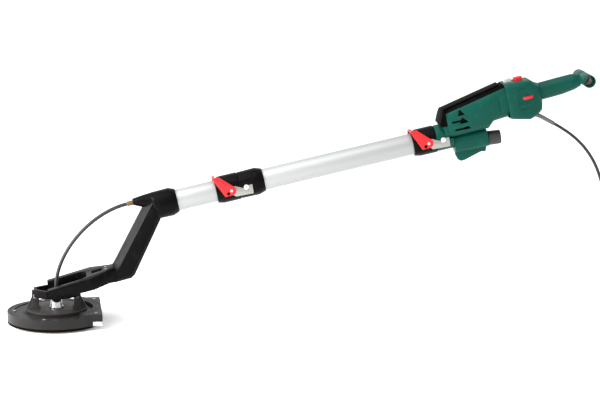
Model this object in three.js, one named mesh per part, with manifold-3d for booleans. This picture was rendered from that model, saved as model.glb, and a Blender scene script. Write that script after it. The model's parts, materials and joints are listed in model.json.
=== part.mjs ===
// Pole drywall sander: a disc head on a gimbal, a cranked arm, a removable extension pole with two
// quick couplings, and a motor unit with a dust outlet at the back.
// Millimetres, +Z up. The origin is the centre of the sanding face, with +X towards the handle.

import * as THREE from 'three';
import { mergeVertices } from 'three/addons/utils/BufferGeometryUtils.js';
import Module from 'manifold-3d';

const wasm = await Module();
wasm.setup();

// ---------------------------------------------------------------- driving dimensions

const GAP = 0.3; // between pieces that touch
const TURN = Math.PI * 2;
const RAD = Math.PI / 180;

// pole
const POLE_ANGLE = 12.38 * RAD; // above the horizontal
const POLE_HEIGHT = 242; // where the pole's axis crosses the head's axis
const TUBE_RADIUS = 27.5;
const TUBE_WALL = 1.6;
const TUBE_SIDES = 24;
const LOWER_COUPLING = 418; // along the pole, to the start of the lower coupling
const EXTENSION_PITCH = 517; // from the lower coupling to the upper one

// coupling, measured from its start
const COUPLING_SPLIT = 61;
const COUPLING_LENGTH = 125;
const SPIGOT = 20; // how far the tube reaches into the socket
const SLEEVE_RADIUS = 35;
const SLEEVE_FLAT = 31; // half width across the side flats
const LEVER_PIVOT = [29, -8];
const HOOK_PIVOT = [38, -2];
const STUD_PLACE = [76.5, -2];
const STUD_RADIUS = 4;
const STUD_HEAD_RADIUS = 6.2;
const HOOK_THICKNESS = 2;
const LEVER_THICKNESS = 3.2;
const LEVER_SHORT_ARM = 22; // height of the right arm's end above the pole's axis
const BOSS_RADIUS = 4;
const HOOK_PIN_RADIUS = 3;
const PLAY = 0.4; // between pieces that slide or turn

// head
const PAD_RADIUS = 112.5;
const DISC_THICKNESS = 1.2;
const PAD_TOP = 13.5;
const SHROUD_RADIUS = 125;
const DISC_SIDES = 48;
const SHROUD_WALL = 6;
const SHROUD_BOTTOM = 10.6;
const SHROUD_TOP = 34;
const SHROUD_SKIN = 4;
const EDGE_X = 113; // the straight edge, level with the pad's rim
const EDGE_HALF_WIDTH = 98;
const EDGE_POCKET_X = 88;
const EDGE_POCKET_TOP = 25;
const EDGE_RISE = 7; // of the shroud's top beside the straight edge
const EDGE_RISE_RADIUS = 93;
const CARRIER_RADIUS = 78;
const CARRIER_TOP = 40;
const GIMBAL_HEIGHT = 80;
const RING_HALF_LENGTH = 57;
const RING_HALF_WIDTH = 41;
const RING_END_HALF = 17;
const RING_SIDE_HALF = 26;
const RING_BAR = 8;
const RING_HALF_HEIGHT = 10;
const CHEEK = 4.6;
const ROLL_PIN_RADIUS = 4;
const PITCH_PIN_RADIUS = 5;
const SPINDLE_RADIUS = 6;
const SPINDLE_HOUSING_RADIUS = 15;
const SPINDLE_HOUSING_TOP = 64;

// fork and arm
const FORK_ANGLE = 14.4 * RAD;
const FORK_HALF_WIDTH = 68;
const TINE_WIDTH = 26;
const TINE_TOP = 21.7; // above the gimbal's axis, square to the fork
const TINE_BOTTOM = -5.5;
const TINE_TIP = -20;
const YOKE_START = 85;
const FORK_END = 155.7;
const ARM_HALF_WIDTH = 24;
const ARM_CHAMFER = 9;
const ARM_FRONT_CHAMFER = 16;
const ARM_WALL = 7;
const ARM_TOP = 33; // above the pole's axis
const ARM_LEAN = 0.8; // along the pole for each millimetre of height
const SOCKET_MOUTH = 317; // along the pole
const SOCKET_FLOOR = 262;
const NOSE_TIP = 207;
const DRIVE_DEPTH = 7; // of the drive line, below the tube's top
const DRIVE_OFFSET = TUBE_RADIUS - DRIVE_DEPTH; // the drive line, above the pole's axis
const FERRULE_RADIUS = 6.2;
const CASING_RADIUS = 4.8;
const ROD_RADIUS = 3.4;
const ROD_SOCKET_RADIUS = 5;

// motor unit, measured from the front face of its pole socket
const MOTOR_WALL = 3;
const SHELL_FRONT = 34;
const SHELL_REAR = 196;
const TOP_AT_NOSE = 72;
const TOP_SLOPE = 0.2037;
const NOSE_X = 30;
const STRIP_THICKNESS = 4;
const STRIP_END = 186;
const GEAR_TEETH = 39;
const PINION_TEETH = 12;
const MOTOR_AXIS = DRIVE_OFFSET + (GEAR_TEETH + PINION_TEETH) / 2; // of gears of module 1
const DUCT_START = 43;
const DUCT_END = 132;
const DUCT_AXIS = -29;
const DUCT_BORE = 19;
const NOZZLE_RADIUS = 18.5;
const NOZZLE_WALL = 2.2;
const NOZZLE_LENGTH = 34;
const NOZZLE_TILT = 6 * RAD;
const CONTROL_REAR = 289;
const HANDLE_REAR = 396;
const BAR_X = 410;
const BAR_AXIS = 62;
const BAR_RADIUS = 16.5;
const BAR_LENGTH = 120;
const BAR_BORE = 14;
const WHEEL_RADIUS = 18;
const WHEEL_THICKNESS = 7;
const WHEEL_PLACE = [250, -27, 55];

// mains cord
const CORD_RADIUS = 4;
const COIL_CENTRE = [1520, 48];
const COIL_INNER = 28;
const COIL_OUTER = 52;
const COIL_LAYERS = 4;
const COIL_BASE = 1.5;
const TIE = 1.2;
const TIE_WIDTH = 14;
const PLUG_RADIUS = 17;

// ---------------------------------------------------------------- solids

function toSolid(geometry) {
  const plain = geometry.clone();
  plain.deleteAttribute('normal');
  plain.deleteAttribute('uv');
  const merged = mergeVertices(plain, 1e-4);
  const place = merged.attributes.position.array;
  const corners = merged.index.array;
  const faces = [];
  let volume = 0;
  for (let i = 0; i < corners.length; i += 3) {
    const [a, b, c] = [corners[i], corners[i + 1], corners[i + 2]];
    if (a === b || b === c || a === c) continue;
    faces.push([a, b, c]);
    const [p, q, r] = [a, b, c].map((k) => new THREE.Vector3().fromArray(place, k * 3));
    volume += p.dot(q.cross(r));
  }
  const outward = volume < 0 ? faces.map(([a, b, c]) => [a, c, b]) : faces;
  return new wasm.Manifold(new wasm.Mesh({
    numProp: 3,
    vertProperties: new Float32Array(place),
    triVerts: new Uint32Array(outward.flat()),
  }));
}

function toGeometry(solid) {
  const mesh = solid.getMesh();
  const geometry = new THREE.BufferGeometry();
  geometry.setAttribute('position', new THREE.BufferAttribute(new Float32Array(mesh.vertProperties), 3));
  geometry.setIndex(new THREE.BufferAttribute(new Uint32Array(mesh.triVerts), 1));
  geometry.computeVertexNormals();
  return geometry;
}

const join = (...solids) => solids.reduce((a, b) => a.add(b));
const cut = (solid, ...tools) => tools.reduce((a, b) => a.subtract(b), solid);

function box(x0, x1, y0, y1, z0, z1) {
  const geometry = new THREE.BoxGeometry(x1 - x0, y1 - y0, z1 - z0);
  return toSolid(geometry.translate((x0 + x1) / 2, (y0 + y1) / 2, (z0 + z1) / 2));
}

// a round bar along an axis; place holds the other two coordinates, in X, Y, Z order
function bar(axis, radius, from, to, place = [0, 0], sides = 16) {
  const geometry = new THREE.CylinderGeometry(radius, radius, to - from, sides);
  const middle = (from + to) / 2;
  if (axis === 'x') geometry.rotateZ(-Math.PI / 2).translate(middle, place[0], place[1]);
  if (axis === 'y') geometry.translate(place[0], middle, place[1]);
  if (axis === 'z') geometry.rotateX(Math.PI / 2).translate(place[0], place[1], middle);
  return toSolid(geometry);
}

// a turned piece; the profile lists [radius, distance along the axis] and starts and ends on the axis
function turned(axis, profile, place = [0, 0], sides = TUBE_SIDES) {
  const points = profile.map(([r, along]) => new THREE.Vector2(r, along));
  const geometry = new THREE.LatheGeometry(points, sides);
  if (axis === 'x') geometry.rotateZ(-Math.PI / 2).translate(0, place[0], place[1]);
  if (axis === 'z') geometry.rotateX(Math.PI / 2).translate(place[0], place[1], 0);
  return toSolid(geometry);
}

function tube(axis, outer, inner, from, to, place = [0, 0], sides = TUBE_SIDES) {
  return cut(bar(axis, outer, from, to, place, sides), bar(axis, inner, from - 1, to + 1, place, sides));
}

function shapeOf(outline) {
  if (outline instanceof THREE.Shape) return outline;
  return new THREE.Shape(outline.map(([a, b]) => new THREE.Vector2(a, b)));
}

// an outline in X and Z, given thickness along Y, with its long edges chamfered
function plate(outline, y0, y1, chamfer = 0) {
  const geometry = new THREE.ExtrudeGeometry(shapeOf(outline), {
    depth: y1 - y0 - 2 * chamfer,
    bevelEnabled: chamfer > 0,
    bevelThickness: chamfer,
    bevelSize: chamfer,
    bevelOffset: -chamfer,
    bevelSegments: 1,
    curveSegments: 4,
  });
  return toSolid(geometry.rotateX(Math.PI / 2).translate(0, y1 - chamfer, 0));
}

// an outline in X and Y, given height along Z
function slab(outline, z0, z1, curveSegments = 32) {
  const geometry = new THREE.ExtrudeGeometry(shapeOf(outline), {
    depth: z1 - z0, bevelEnabled: false, curveSegments,
  });
  return toSolid(geometry.translate(0, 0, z0));
}

// rounded sections along X, each [x, bottom, top, half width, corner radius], skinned into one body
function loft(stations, corner = 4) {
  const rings = stations.map(([x, low, high, half, radius]) => {
    const r = Math.min(radius, half - 0.5, (high - low) / 2 - 0.5);
    const ring = [];
    for (let k = 0; k < 4; k += 1) {
      const middleY = (k === 0 || k === 3 ? 1 : -1) * (half - r);
      const middleZ = k < 2 ? high - r : low + r;
      for (let i = 0; i <= corner; i += 1) {
        const angle = (k + i / corner) * (Math.PI / 2);
        ring.push([x, middleY + r * Math.cos(angle), middleZ + r * Math.sin(angle)]);
      }
    }
    return ring;
  });
  const count = rings[0].length;
  const points = rings.flat();
  const faces = [];
  for (let s = 0; s < rings.length - 1; s += 1) {
    for (let i = 0; i < count; i += 1) {
      const next = (i + 1) % count;
      const [a, b] = [s * count + i, s * count + next];
      faces.push([a, b, a + count], [b, b + count, a + count]);
    }
  }
  const last = (rings.length - 1) * count;
  for (let i = 1; i < count - 1; i += 1) {
    faces.push([0, i + 1, i], [last, last + i, last + i + 1]);
  }
  const geometry = new THREE.BufferGeometry();
  geometry.setAttribute('position', new THREE.BufferAttribute(new Float32Array(points.flat()), 3));
  geometry.setIndex(faces.flat());
  return toSolid(geometry);
}

const shrink = (stations, wall) =>
  stations.map(([x, low, high, half, radius]) => [x, low + wall, high - wall, half - wall, radius - wall]);

// a round section swept along a curve
function swept(curve, radius, steps, sides = 8) {
  const circle = new THREE.EllipseCurve(0, 0, radius, radius);
  const section = new THREE.Shape(circle.getPoints(sides).slice(0, sides));
  return toSolid(new THREE.ExtrudeGeometry(section, { steps, extrudePath: curve, bevelEnabled: false }));
}

// a round section drawn along a smooth path through points
function drawn(points, radius, steps, sides = 8) {
  const through = points.map((point) => new THREE.Vector3(...point));
  return swept(new THREE.CatmullRomCurve3(through, false, 'centripetal'), radius, steps, sides);
}

// ---------------------------------------------------------------- groups and finishes

const sander = new THREE.Group();
sander.name = 'pole_drywall_sander';

function groupAt(parent, x, y, z, turn = 0) {
  const group = new THREE.Group();
  group.position.set(x, y, z);
  group.rotation.y = -turn;
  parent.add(group);
  return group;
}

const finish = (color, roughness, metalness = 0) => ({ color, roughness, metalness });
const GREEN = finish(0x1f6b5c, 0.42);
const BLACK = finish(0x141414, 0.45);
const SHROUD_GREY = finish(0x3a3839, 0.55);
const RED = finish(0xe02a2e, 0.4);
const GREY = finish(0x9c9b98, 0.5);
const ALUMINIUM = finish(0xd9dadb, 0.35, 1);
const ZINC = finish(0x97958c, 0.45, 1);
const STEEL = finish(0xc8c9ca, 0.25, 1);
const BRASS = finish(0xb08a55, 0.35, 1);
const COPPER = finish(0xa5643a, 0.4, 1);
const RUBBER = finish(0x2b2a2b, 0.7);
const PAPER = finish(0x8a5c3c, 0.95);
const BRISTLE = finish(0x191919, 0.9);
const WHITE = finish(0xe9ece9, 0.5);

function add(parent, name, solid, { color, roughness, metalness }) {
  const material = new THREE.MeshStandardMaterial({ color, roughness, metalness });
  const mesh = new THREE.Mesh(toGeometry(solid), material);
  mesh.name = name;
  parent.add(mesh);
}

// ---------------------------------------------------------------- head

// a circle with one side squared off to a straight edge
function headSolid(inset, z0, z1) {
  const edge = EDGE_X - inset;
  const half = EDGE_HALF_WIDTH - inset;
  const reach = SHROUD_RADIUS;
  return join(
    bar('z', SHROUD_RADIUS - inset, z0, z1, [0, 0], DISC_SIDES).intersect(box(-reach, edge, -reach, reach, z0, z1)),
    box(0, edge, -half, half, z0, z1),
  );
}

function buildPad(head) {
  add(head, 'abrasive_disc', bar('z', PAD_RADIUS, 0, DISC_THICKNESS, [0, 0], DISC_SIDES), PAPER);
  const pad = turned('z', [
    [0, DISC_THICKNESS + GAP],
    [PAD_RADIUS - 1, DISC_THICKNESS + GAP],
    [PAD_RADIUS - 1, PAD_TOP - 3],
    [PAD_RADIUS - 5, PAD_TOP],
    [22, PAD_TOP],
    [20, PAD_TOP + 6],
    [0, PAD_TOP + 6],
  ], [0, 0], DISC_SIDES);
  add(head, 'backing_pad', pad, RUBBER);
  const spindle = bar('z', SPINDLE_RADIUS, PAD_TOP + 6 + GAP, SPINDLE_HOUSING_TOP - 6);
  add(head, 'pad_spindle', spindle, STEEL);
}

function buildShroud(head) {
  const spindleHole = bar('z', SPINDLE_RADIUS + PLAY, 0, SHROUD_TOP + 1);
  const pocket = box(EDGE_POCKET_X, EDGE_X + 1, -SHROUD_RADIUS, SHROUD_RADIUS, 0, EDGE_POCKET_TOP);
  const rise = cut(
    headSolid(0, SHROUD_TOP - 1, SHROUD_TOP + EDGE_RISE),
    bar('z', EDGE_RISE_RADIUS, SHROUD_TOP - 2, SHROUD_TOP + EDGE_RISE + 1, [0, 0], DISC_SIDES),
    box(-SHROUD_RADIUS - 1, 56, -SHROUD_RADIUS, SHROUD_RADIUS, 0, SHROUD_TOP + EDGE_RISE + 1),
  );
  const shroud = cut(
    join(headSolid(0, SHROUD_BOTTOM, SHROUD_TOP), rise),
    bar('z', SHROUD_RADIUS - SHROUD_WALL, SHROUD_BOTTOM - 1, SHROUD_TOP - SHROUD_SKIN, [0, 0], DISC_SIDES)
      .intersect(box(-SHROUD_RADIUS, EDGE_X - 3, -SHROUD_RADIUS, SHROUD_RADIUS, 0, SHROUD_TOP)),
    pocket,
    spindleHole,
  );
  add(head, 'shroud', shroud, SHROUD_GREY);

  const bristles = cut(
    headSolid(0.6, 0, SHROUD_BOTTOM - GAP),
    bar('z', SHROUD_RADIUS - SHROUD_WALL, -1, SHROUD_TOP, [0, 0], DISC_SIDES),
    box(EDGE_POCKET_X - GAP, EDGE_X + 1, -SHROUD_RADIUS, SHROUD_RADIUS, -1, SHROUD_TOP),
  );
  add(head, 'brush_ring', bristles, BRISTLE);

  const x0 = EDGE_POCKET_X + GAP;
  const half = EDGE_HALF_WIDTH - 0.6;
  const holderBottom = EDGE_POCKET_TOP - 2.8;
  add(head, 'edge_segment', box(x0, EDGE_X - GAP, -half, half, holderBottom, EDGE_POCKET_TOP - GAP), SHROUD_GREY);
  const blocks = join(
    box(x0, EDGE_X - 1, -half, -66, 0, holderBottom - GAP),
    box(x0, EDGE_X - 1, 66, half, 0, holderBottom - GAP),
  );
  const rimRoom = bar('z', PAD_RADIUS + 2, -1, PAD_TOP + GAP, [0, 0], DISC_SIDES);
  const strip = box(EDGE_X - 6, EDGE_X - 1, -half, half, PAD_TOP + 2 * GAP, holderBottom - GAP);
  add(head, 'edge_brush', join(cut(blocks, rimRoom), strip), WHITE);
}

// a clevis post: two cheeks astride the end bar of the gimbal ring, with a pin through both
function clevis(side) {
  const barIn = RING_HALF_LENGTH - RING_BAR;
  const outside = RING_HALF_LENGTH + PLAY + CHEEK;
  const cheekShape = new THREE.Shape();
  cheekShape.moveTo(-16, CARRIER_TOP - 1);
  cheekShape.lineTo(16, CARRIER_TOP - 1);
  cheekShape.lineTo(9, GIMBAL_HEIGHT - 4);
  cheekShape.absarc(0, GIMBAL_HEIGHT - 1, 9, 0, Math.PI, false);
  const cheek = (x0, x1) => toSolid(new THREE.ExtrudeGeometry(cheekShape, {
    depth: x1 - x0, bevelEnabled: false, curveSegments: 4,
  }).rotateX(Math.PI / 2).rotateZ(Math.PI / 2).translate(x0, 0, 0));
  const outward = join(
    cheek(barIn - PLAY - CHEEK, barIn - PLAY),
    cheek(RING_HALF_LENGTH + PLAY, outside),
    bar('x', ROLL_PIN_RADIUS, barIn - PLAY - CHEEK, outside, [0, GIMBAL_HEIGHT], 16),
    box(barIn - CHEEK - 4, RING_HALF_LENGTH + CHEEK + 8, -19, 19, CARRIER_TOP - 1, CARRIER_TOP + 5),
    box(barIn - PLAY - CHEEK, outside, -15, 15, CARRIER_TOP - 1, GIMBAL_HEIGHT - RING_HALF_HEIGHT - 8),
    plate([[outside - 1, CARRIER_TOP - 1], [outside + 14, CARRIER_TOP - 1], [outside - 1, GIMBAL_HEIGHT - 8]], -4, 4),
  );
  return side > 0 ? outward : outward.mirror([1, 0, 0]);
}

function buildCarrier(head) {
  const disc = tube('z', CARRIER_RADIUS, SPINDLE_HOUSING_RADIUS - 3, SHROUD_TOP + GAP, CARRIER_TOP, [0, 0], 32);
  add(head, 'head_carrier', join(disc, clevis(1), clevis(-1)), BLACK);
  const housing = cut(
    turned('z', [
      [0, CARRIER_TOP + GAP],
      [SPINDLE_HOUSING_RADIUS + 3, CARRIER_TOP + GAP],
      [SPINDLE_HOUSING_RADIUS + 3, CARRIER_TOP + 4],
      [SPINDLE_HOUSING_RADIUS, CARRIER_TOP + 5],
      [SPINDLE_HOUSING_RADIUS - 1, SPINDLE_HOUSING_TOP - 4],
      [9, SPINDLE_HOUSING_TOP],
      [8, SPINDLE_HOUSING_TOP + 10],
      [6.5, SPINDLE_HOUSING_TOP + 27],
      [0, SPINDLE_HOUSING_TOP + 27],
    ], [0, 0], 24),
    bar('z', SPINDLE_RADIUS + PLAY, CARRIER_TOP - 2, SPINDLE_HOUSING_TOP - 5),
  );
  add(head, 'spindle_housing', housing, STEEL);
}

// the gimbal ring seen from above: a rectangle with its corners cut off
function ringOutline(inset) {
  const [x, y] = [RING_HALF_LENGTH - inset, RING_HALF_WIDTH - inset];
  const [endY, sideX] = [RING_END_HALF - inset / 2, RING_SIDE_HALF - inset / 2];
  return [
    [x, -endY], [x, endY], [sideX, y], [-sideX, y], [-x, endY], [-x, -endY], [-sideX, -y], [sideX, -y],
  ];
}

function buildRing(head) {
  const [z0, z1] = [GIMBAL_HEIGHT - RING_HALF_HEIGHT, GIMBAL_HEIGHT + RING_HALF_HEIGHT];
  const frame = cut(
    slab(ringOutline(0), z0, z1),
    slab(ringOutline(RING_BAR), z0 - 1, z1 + 1),
    bar('x', ROLL_PIN_RADIUS + PLAY, -SHROUD_RADIUS, SHROUD_RADIUS, [0, GIMBAL_HEIGHT], 16),
  );
  const pinReach = FORK_HALF_WIDTH - 4;
  const pins = [-1, 1].map((side) => {
    const reach = [side * (RING_HALF_WIDTH - 1), side * pinReach].sort((a, b) => a - b);
    return bar('y', PITCH_PIN_RADIUS, reach[0], reach[1], [0, GIMBAL_HEIGHT], 16);
  });
  add(head, 'gimbal_ring', join(frame, ...pins), BLACK);
}

// ---------------------------------------------------------------- fork and arm

// the fork's group has its origin on the gimbal's centre and +X along the fork
function buildFork(fork) {
  const inner = FORK_HALF_WIDTH - TINE_WIDTH;
  const side = [
    [TINE_TIP, 6],
    [TINE_TIP + 3, TINE_TOP],
    [FORK_END - 2, TINE_TOP + 4],
    [FORK_END, TINE_TOP + 4],
    [FORK_END, TINE_BOTTOM - 7],
    [FORK_END - 20, TINE_BOTTOM - 2],
    [62, TINE_BOTTOM],
  ];
  const plan = [
    [TINE_TIP - 20, -FORK_HALF_WIDTH],
    [YOKE_START + 12, -FORK_HALF_WIDTH],
    [FORK_END - 8, -ARM_HALF_WIDTH - 4],
    [FORK_END + 1, -ARM_HALF_WIDTH - 2],
    [FORK_END + 1, ARM_HALF_WIDTH + 2],
    [FORK_END - 8, ARM_HALF_WIDTH + 4],
    [YOKE_START + 12, FORK_HALF_WIDTH],
    [TINE_TIP - 20, FORK_HALF_WIDTH],
  ];
  const between = [
    [TINE_TIP - 21, -inner],
    [YOKE_START - 12, -inner],
    [YOKE_START, 12 - inner],
    [YOKE_START, inner - 12],
    [YOKE_START - 12, inner],
    [TINE_TIP - 21, inner],
  ];
  const body = plate(side, -FORK_HALF_WIDTH, FORK_HALF_WIDTH).intersect(slab(plan, -60, 60));
  const bossRadius = PITCH_PIN_RADIUS + 8;
  const bosses = bar('y', bossRadius, -FORK_HALF_WIDTH + 2, FORK_HALF_WIDTH - 2, [0, 0], 24);
  const recess = box(YOKE_START + 14, YOKE_START + 42, -14, 14, TINE_TOP - 8, TINE_TOP + 10);
  const solid = cut(
    join(body, bosses),
    slab(between, -60, 60),
    bar('y', PITCH_PIN_RADIUS + PLAY, -FORK_HALF_WIDTH + 3, FORK_HALF_WIDTH - 3, [0, 0], 16),
    recess,
  );
  add(fork, 'fork', solid, BLACK);
}

// world places of the arm's side outline follow from the fork's end and the pole socket
function forkPoint(x, z) {
  return [
    x * Math.cos(FORK_ANGLE) - z * Math.sin(FORK_ANGLE),
    GIMBAL_HEIGHT + x * Math.sin(FORK_ANGLE) + z * Math.cos(FORK_ANGLE),
  ];
}

function polePoint(along, up) {
  return [
    along * Math.cos(POLE_ANGLE) - up * Math.sin(POLE_ANGLE),
    POLE_HEIGHT + along * Math.sin(POLE_ANGLE) + up * Math.cos(POLE_ANGLE),
  ];
}

const inPoleFrame = (solid) => solid.rotate([0, -POLE_ANGLE / RAD, 0]).translate([0, 0, POLE_HEIGHT]);

// inset moves every side inwards; rear moves only the lower and rear sides; the front side leans on up to top
function armOutline(inset, rear = inset, top = ARM_TOP) {
  const foot = FORK_END - ARM_FRONT_CHAMFER - 3; // past the end that is cut off square
  const heel = forkPoint(FORK_END + 38, TINE_BOTTOM - 9 + rear);
  return [
    forkPoint(foot, TINE_BOTTOM - 9 + rear),
    heel,
    [heel[0] + 9 - rear, heel[1] + 9],
    polePoint(SOCKET_FLOOR + 4 - rear, -34),
    polePoint(SOCKET_FLOOR + 8 - rear, top),
    polePoint(SOCKET_FLOOR - 10 - ARM_LEAN * (ARM_TOP - top) + inset, top),
    forkPoint(FORK_END + 10 + inset, TINE_TOP + 18),
    forkPoint(FORK_END + 1, TINE_TOP + 9 - inset),
    forkPoint(foot, TINE_TOP + 8 - inset),
  ];
}

function buildArm(root) {
  const rearRoom = 2 * (ARM_CHAMFER - ARM_FRONT_CHAMFER);
  const beam = plate(armOutline(0), -ARM_HALF_WIDTH, ARM_HALF_WIDTH, ARM_CHAMFER)
    .intersect(plate(armOutline(0, rearRoom), -ARM_HALF_WIDTH, ARM_HALF_WIDTH, ARM_FRONT_CHAMFER));
  const foot = forkPoint(FORK_END + GAP, 0);
  const footCut = toSolid(new THREE.BoxGeometry(100, 100, 200).translate(-50, 0, 0))
    .rotate([0, -FORK_ANGLE / RAD, 0]).translate([foot[0], 0, foot[1]]);
  const barrel = loft([
    [NOSE_TIP, DRIVE_OFFSET - 7, DRIVE_OFFSET + 10, 8.5, 8],
    [NOSE_TIP + 29, 0, 33.5, 18, 17],
    [SOCKET_FLOOR - 8, -10, 34.5, 22, 21],
    [SOCKET_FLOOR - 3, -SLEEVE_RADIUS, SLEEVE_RADIUS, SLEEVE_RADIUS - 0.5, 34],
    [SOCKET_MOUTH - 16, -SLEEVE_RADIUS - 1, SLEEVE_RADIUS + 1, SLEEVE_RADIUS + 1, 40],
    [SOCKET_MOUTH, -TUBE_RADIUS - 2.5, TUBE_RADIUS + 2.5, TUBE_RADIUS + 2.5, 40],
  ], 6);
  const bores = [
    bar('x', TUBE_RADIUS + GAP, SOCKET_FLOOR, SOCKET_MOUTH + 1, [0, 0], TUBE_SIDES),
    bar('x', FERRULE_RADIUS + GAP, NOSE_TIP - 1, SOCKET_FLOOR + 1, [0, DRIVE_OFFSET], 16),
  ];
  const channelHalf = ARM_HALF_WIDTH - ARM_FRONT_CHAMFER + ARM_WALL / 2;
  const channel = plate(armOutline(ARM_WALL, ARM_WALL, 0), -channelHalf, channelHalf);
  const arm = cut(
    join(cut(beam, footCut), inPoleFrame(barrel)),
    ...bores.map(inPoleFrame),
    channel,
  );
  add(root, 'head_arm', arm, BLACK);
}

function buildFlex(root, pole) {
  const ferrule = tube('x', FERRULE_RADIUS, ROD_RADIUS + PLAY, NOSE_TIP - 15, NOSE_TIP + 8, [0, DRIVE_OFFSET], 16);
  add(pole, 'flex_ferrule', ferrule, BRASS);
  const start = polePoint(NOSE_TIP - 15 - GAP, DRIVE_OFFSET);
  const end = [0, SPINDLE_HOUSING_TOP + 27 + GAP];
  const aim = [Math.cos(POLE_ANGLE), Math.sin(POLE_ANGLE)];
  const curve = new THREE.CubicBezierCurve3(
    new THREE.Vector3(start[0], 0, start[1]),
    new THREE.Vector3(start[0] - 92 * aim[0], 0, start[1] - 92 * aim[1]),
    new THREE.Vector3(end[0], 0, end[1] + 92),
    new THREE.Vector3(end[0], 0, end[1]),
  );
  add(root, 'flex_casing', swept(curve, CASING_RADIUS, 20), RUBBER);
}

// ---------------------------------------------------------------- quick coupling

const bothSides = (make) => join(make(-1), make(1));

function sideBar(radius, place, y0, y1, sides = 16) {
  return (side) => bar('y', radius, Math.min(side * y0, side * y1), Math.max(side * y0, side * y1), place, sides);
}

const sideFlats = (x0, x1) => box(x0, x1, -SLEEVE_FLAT, SLEEVE_FLAT, -60, 60);

// the latch half: a sleeve on the tube that carries the lever's pivots
function latchSleeve() {
  const body = turned('x', [
    [0, 0],
    [TUBE_RADIUS + 4, 0],
    [SLEEVE_RADIUS, 15],
    [SLEEVE_RADIUS, COUPLING_SPLIT - 2],
    [SLEEVE_RADIUS - 2, COUPLING_SPLIT - GAP],
    [0, COUPLING_SPLIT - GAP],
  ]);
  const boss = sideBar(BOSS_RADIUS, LEVER_PIVOT, SLEEVE_FLAT - 2, leverOuter());
  return cut(
    join(body.intersect(sideFlats(-1, COUPLING_SPLIT)), bothSides(boss)),
    bar('x', TUBE_RADIUS + GAP, -1, COUPLING_SPLIT, [0, 0], TUBE_SIDES),
  );
}

const hookInner = () => SLEEVE_FLAT + GAP;
const hookOuter = () => hookInner() + HOOK_THICKNESS;
const leverInner = () => hookOuter() + GAP;
const leverOuter = () => leverInner() + LEVER_THICKNESS;

// the socket half: takes the tube's end and carries a stud on each side
function socketSleeve() {
  const end = COUPLING_LENGTH - COUPLING_SPLIT;
  const body = turned('x', [
    [0, 0],
    [SLEEVE_RADIUS - 2, 0],
    [SLEEVE_RADIUS - 1, 3],
    [SLEEVE_RADIUS, end - 17],
    [TUBE_RADIUS + 2, end],
    [0, end],
  ]);
  return cut(
    body.intersect(sideFlats(-1, end + 1)),
    bar('x', TUBE_RADIUS + GAP, -1, end + 1, [0, 0], TUBE_SIDES),
    ...studHoles(),
  );
}

const studInSocket = () => [STUD_PLACE[0] - COUPLING_SPLIT, STUD_PLACE[1]];

function studHoles() {
  return [-1, 1].map(sideBar(STUD_RADIUS + GAP, studInSocket(), SLEEVE_FLAT - 2, SLEEVE_FLAT + 2));
}

function stud(side) {
  const shank = sideBar(STUD_RADIUS, studInSocket(), SLEEVE_FLAT - 1.7, leverInner() + 1)(side);
  const head = sideBar(STUD_HEAD_RADIUS, studInSocket(), hookOuter() + GAP, hookOuter() + GAP + 2.6, 20)(side);
  return join(shank, head);
}

function leverOutline() {
  const [px, pz] = HOOK_PIVOT;
  const shape = new THREE.Shape();
  shape.moveTo(-3, SLEEVE_RADIUS + 1);
  shape.lineTo(19, -14);
  shape.lineTo(px, pz - 12);
  shape.absarc(px, pz, 12, -Math.PI / 2, 0.9, false);
  shape.lineTo(14, SLEEVE_RADIUS + 3);
  shape.lineTo(-2, SLEEVE_RADIUS + 4);
  return shape;
}

// a lever astride the sleeve: a tab on the left arm and a bow over the top to a shorter right arm
function latchLever() {
  const [inner, outer] = [leverInner(), leverOuter()];
  const left = plate(leverOutline(), -outer, -inner);
  const right = cut(plate(leverOutline(), inner, outer), box(-10, 60, 0, 60, LEVER_SHORT_ARM, 60));
  const tab = box(-2.2, 3.5, -outer, 0, SLEEVE_RADIUS + 0.8, SLEEVE_RADIUS + 3.8);
  const bow = (x1, z0, z1) => tube('x', SLEEVE_RADIUS + 3.8, SLEEVE_RADIUS + 0.8, -2.2, x1, [0, 0], 32)
    .intersect(box(-3, x1, -1, 60, z0, z1));
  return cut(
    join(left, right, tab, bow(3.5, LEVER_SHORT_ARM - 8, 60), bow(16, LEVER_SHORT_ARM - 8, LEVER_SHORT_ARM)),
    bar('y', BOSS_RADIUS + GAP, -60, 60, LEVER_PIVOT, 16),
    bar('y', HOOK_PIN_RADIUS + GAP, -60, 60, HOOK_PIVOT, 16),
  );
}

// a flat hook: an eye on the lever, a shank under the stud and an upturned end beyond it
function hook(side) {
  const [ex, ez] = HOOK_PIVOT;
  const [sx, sz] = STUD_PLACE;
  const notch = STUD_RADIUS + 0.8;
  const shape = new THREE.Shape();
  shape.absarc(ex, ez, 6, Math.PI * 0.45, Math.PI * 1.25, false);
  shape.lineTo(ex + 8, ez - 18);
  shape.lineTo(sx + 15, ez - 20);
  shape.lineTo(sx + 16.5, sz + 3.5);
  shape.lineTo(sx + notch, sz + 3.5);
  shape.lineTo(sx + notch, sz);
  shape.absarc(sx, sz, notch, 0, -Math.PI * 0.75, true);
  shape.lineTo(ex + 11, ez + 9);
  const [y0, y1] = [side * hookInner(), side * hookOuter()].sort((a, b) => a - b);
  const pin = sideBar(HOOK_PIN_RADIUS, HOOK_PIVOT, hookInner() + 1, leverOuter())(side);
  return join(plate(shape, y0, y1), pin);
}

const SIDE_NAMES = [['left', -1], ['right', 1]];

function addLatch(group, name) {
  add(group, `${name}_sleeve`, latchSleeve(), BLACK);
  add(group, `${name}_latch`, latchLever(), RED);
  SIDE_NAMES.forEach(([label, side]) => add(group, `${name}_hook_${label}`, hook(side), ZINC));
}

function addStuds(group, name) {
  SIDE_NAMES.forEach(([label, side]) => add(group, `${name}_stud_${label}`, stud(side), WHITE));
}

// ---------------------------------------------------------------- pole

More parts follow.
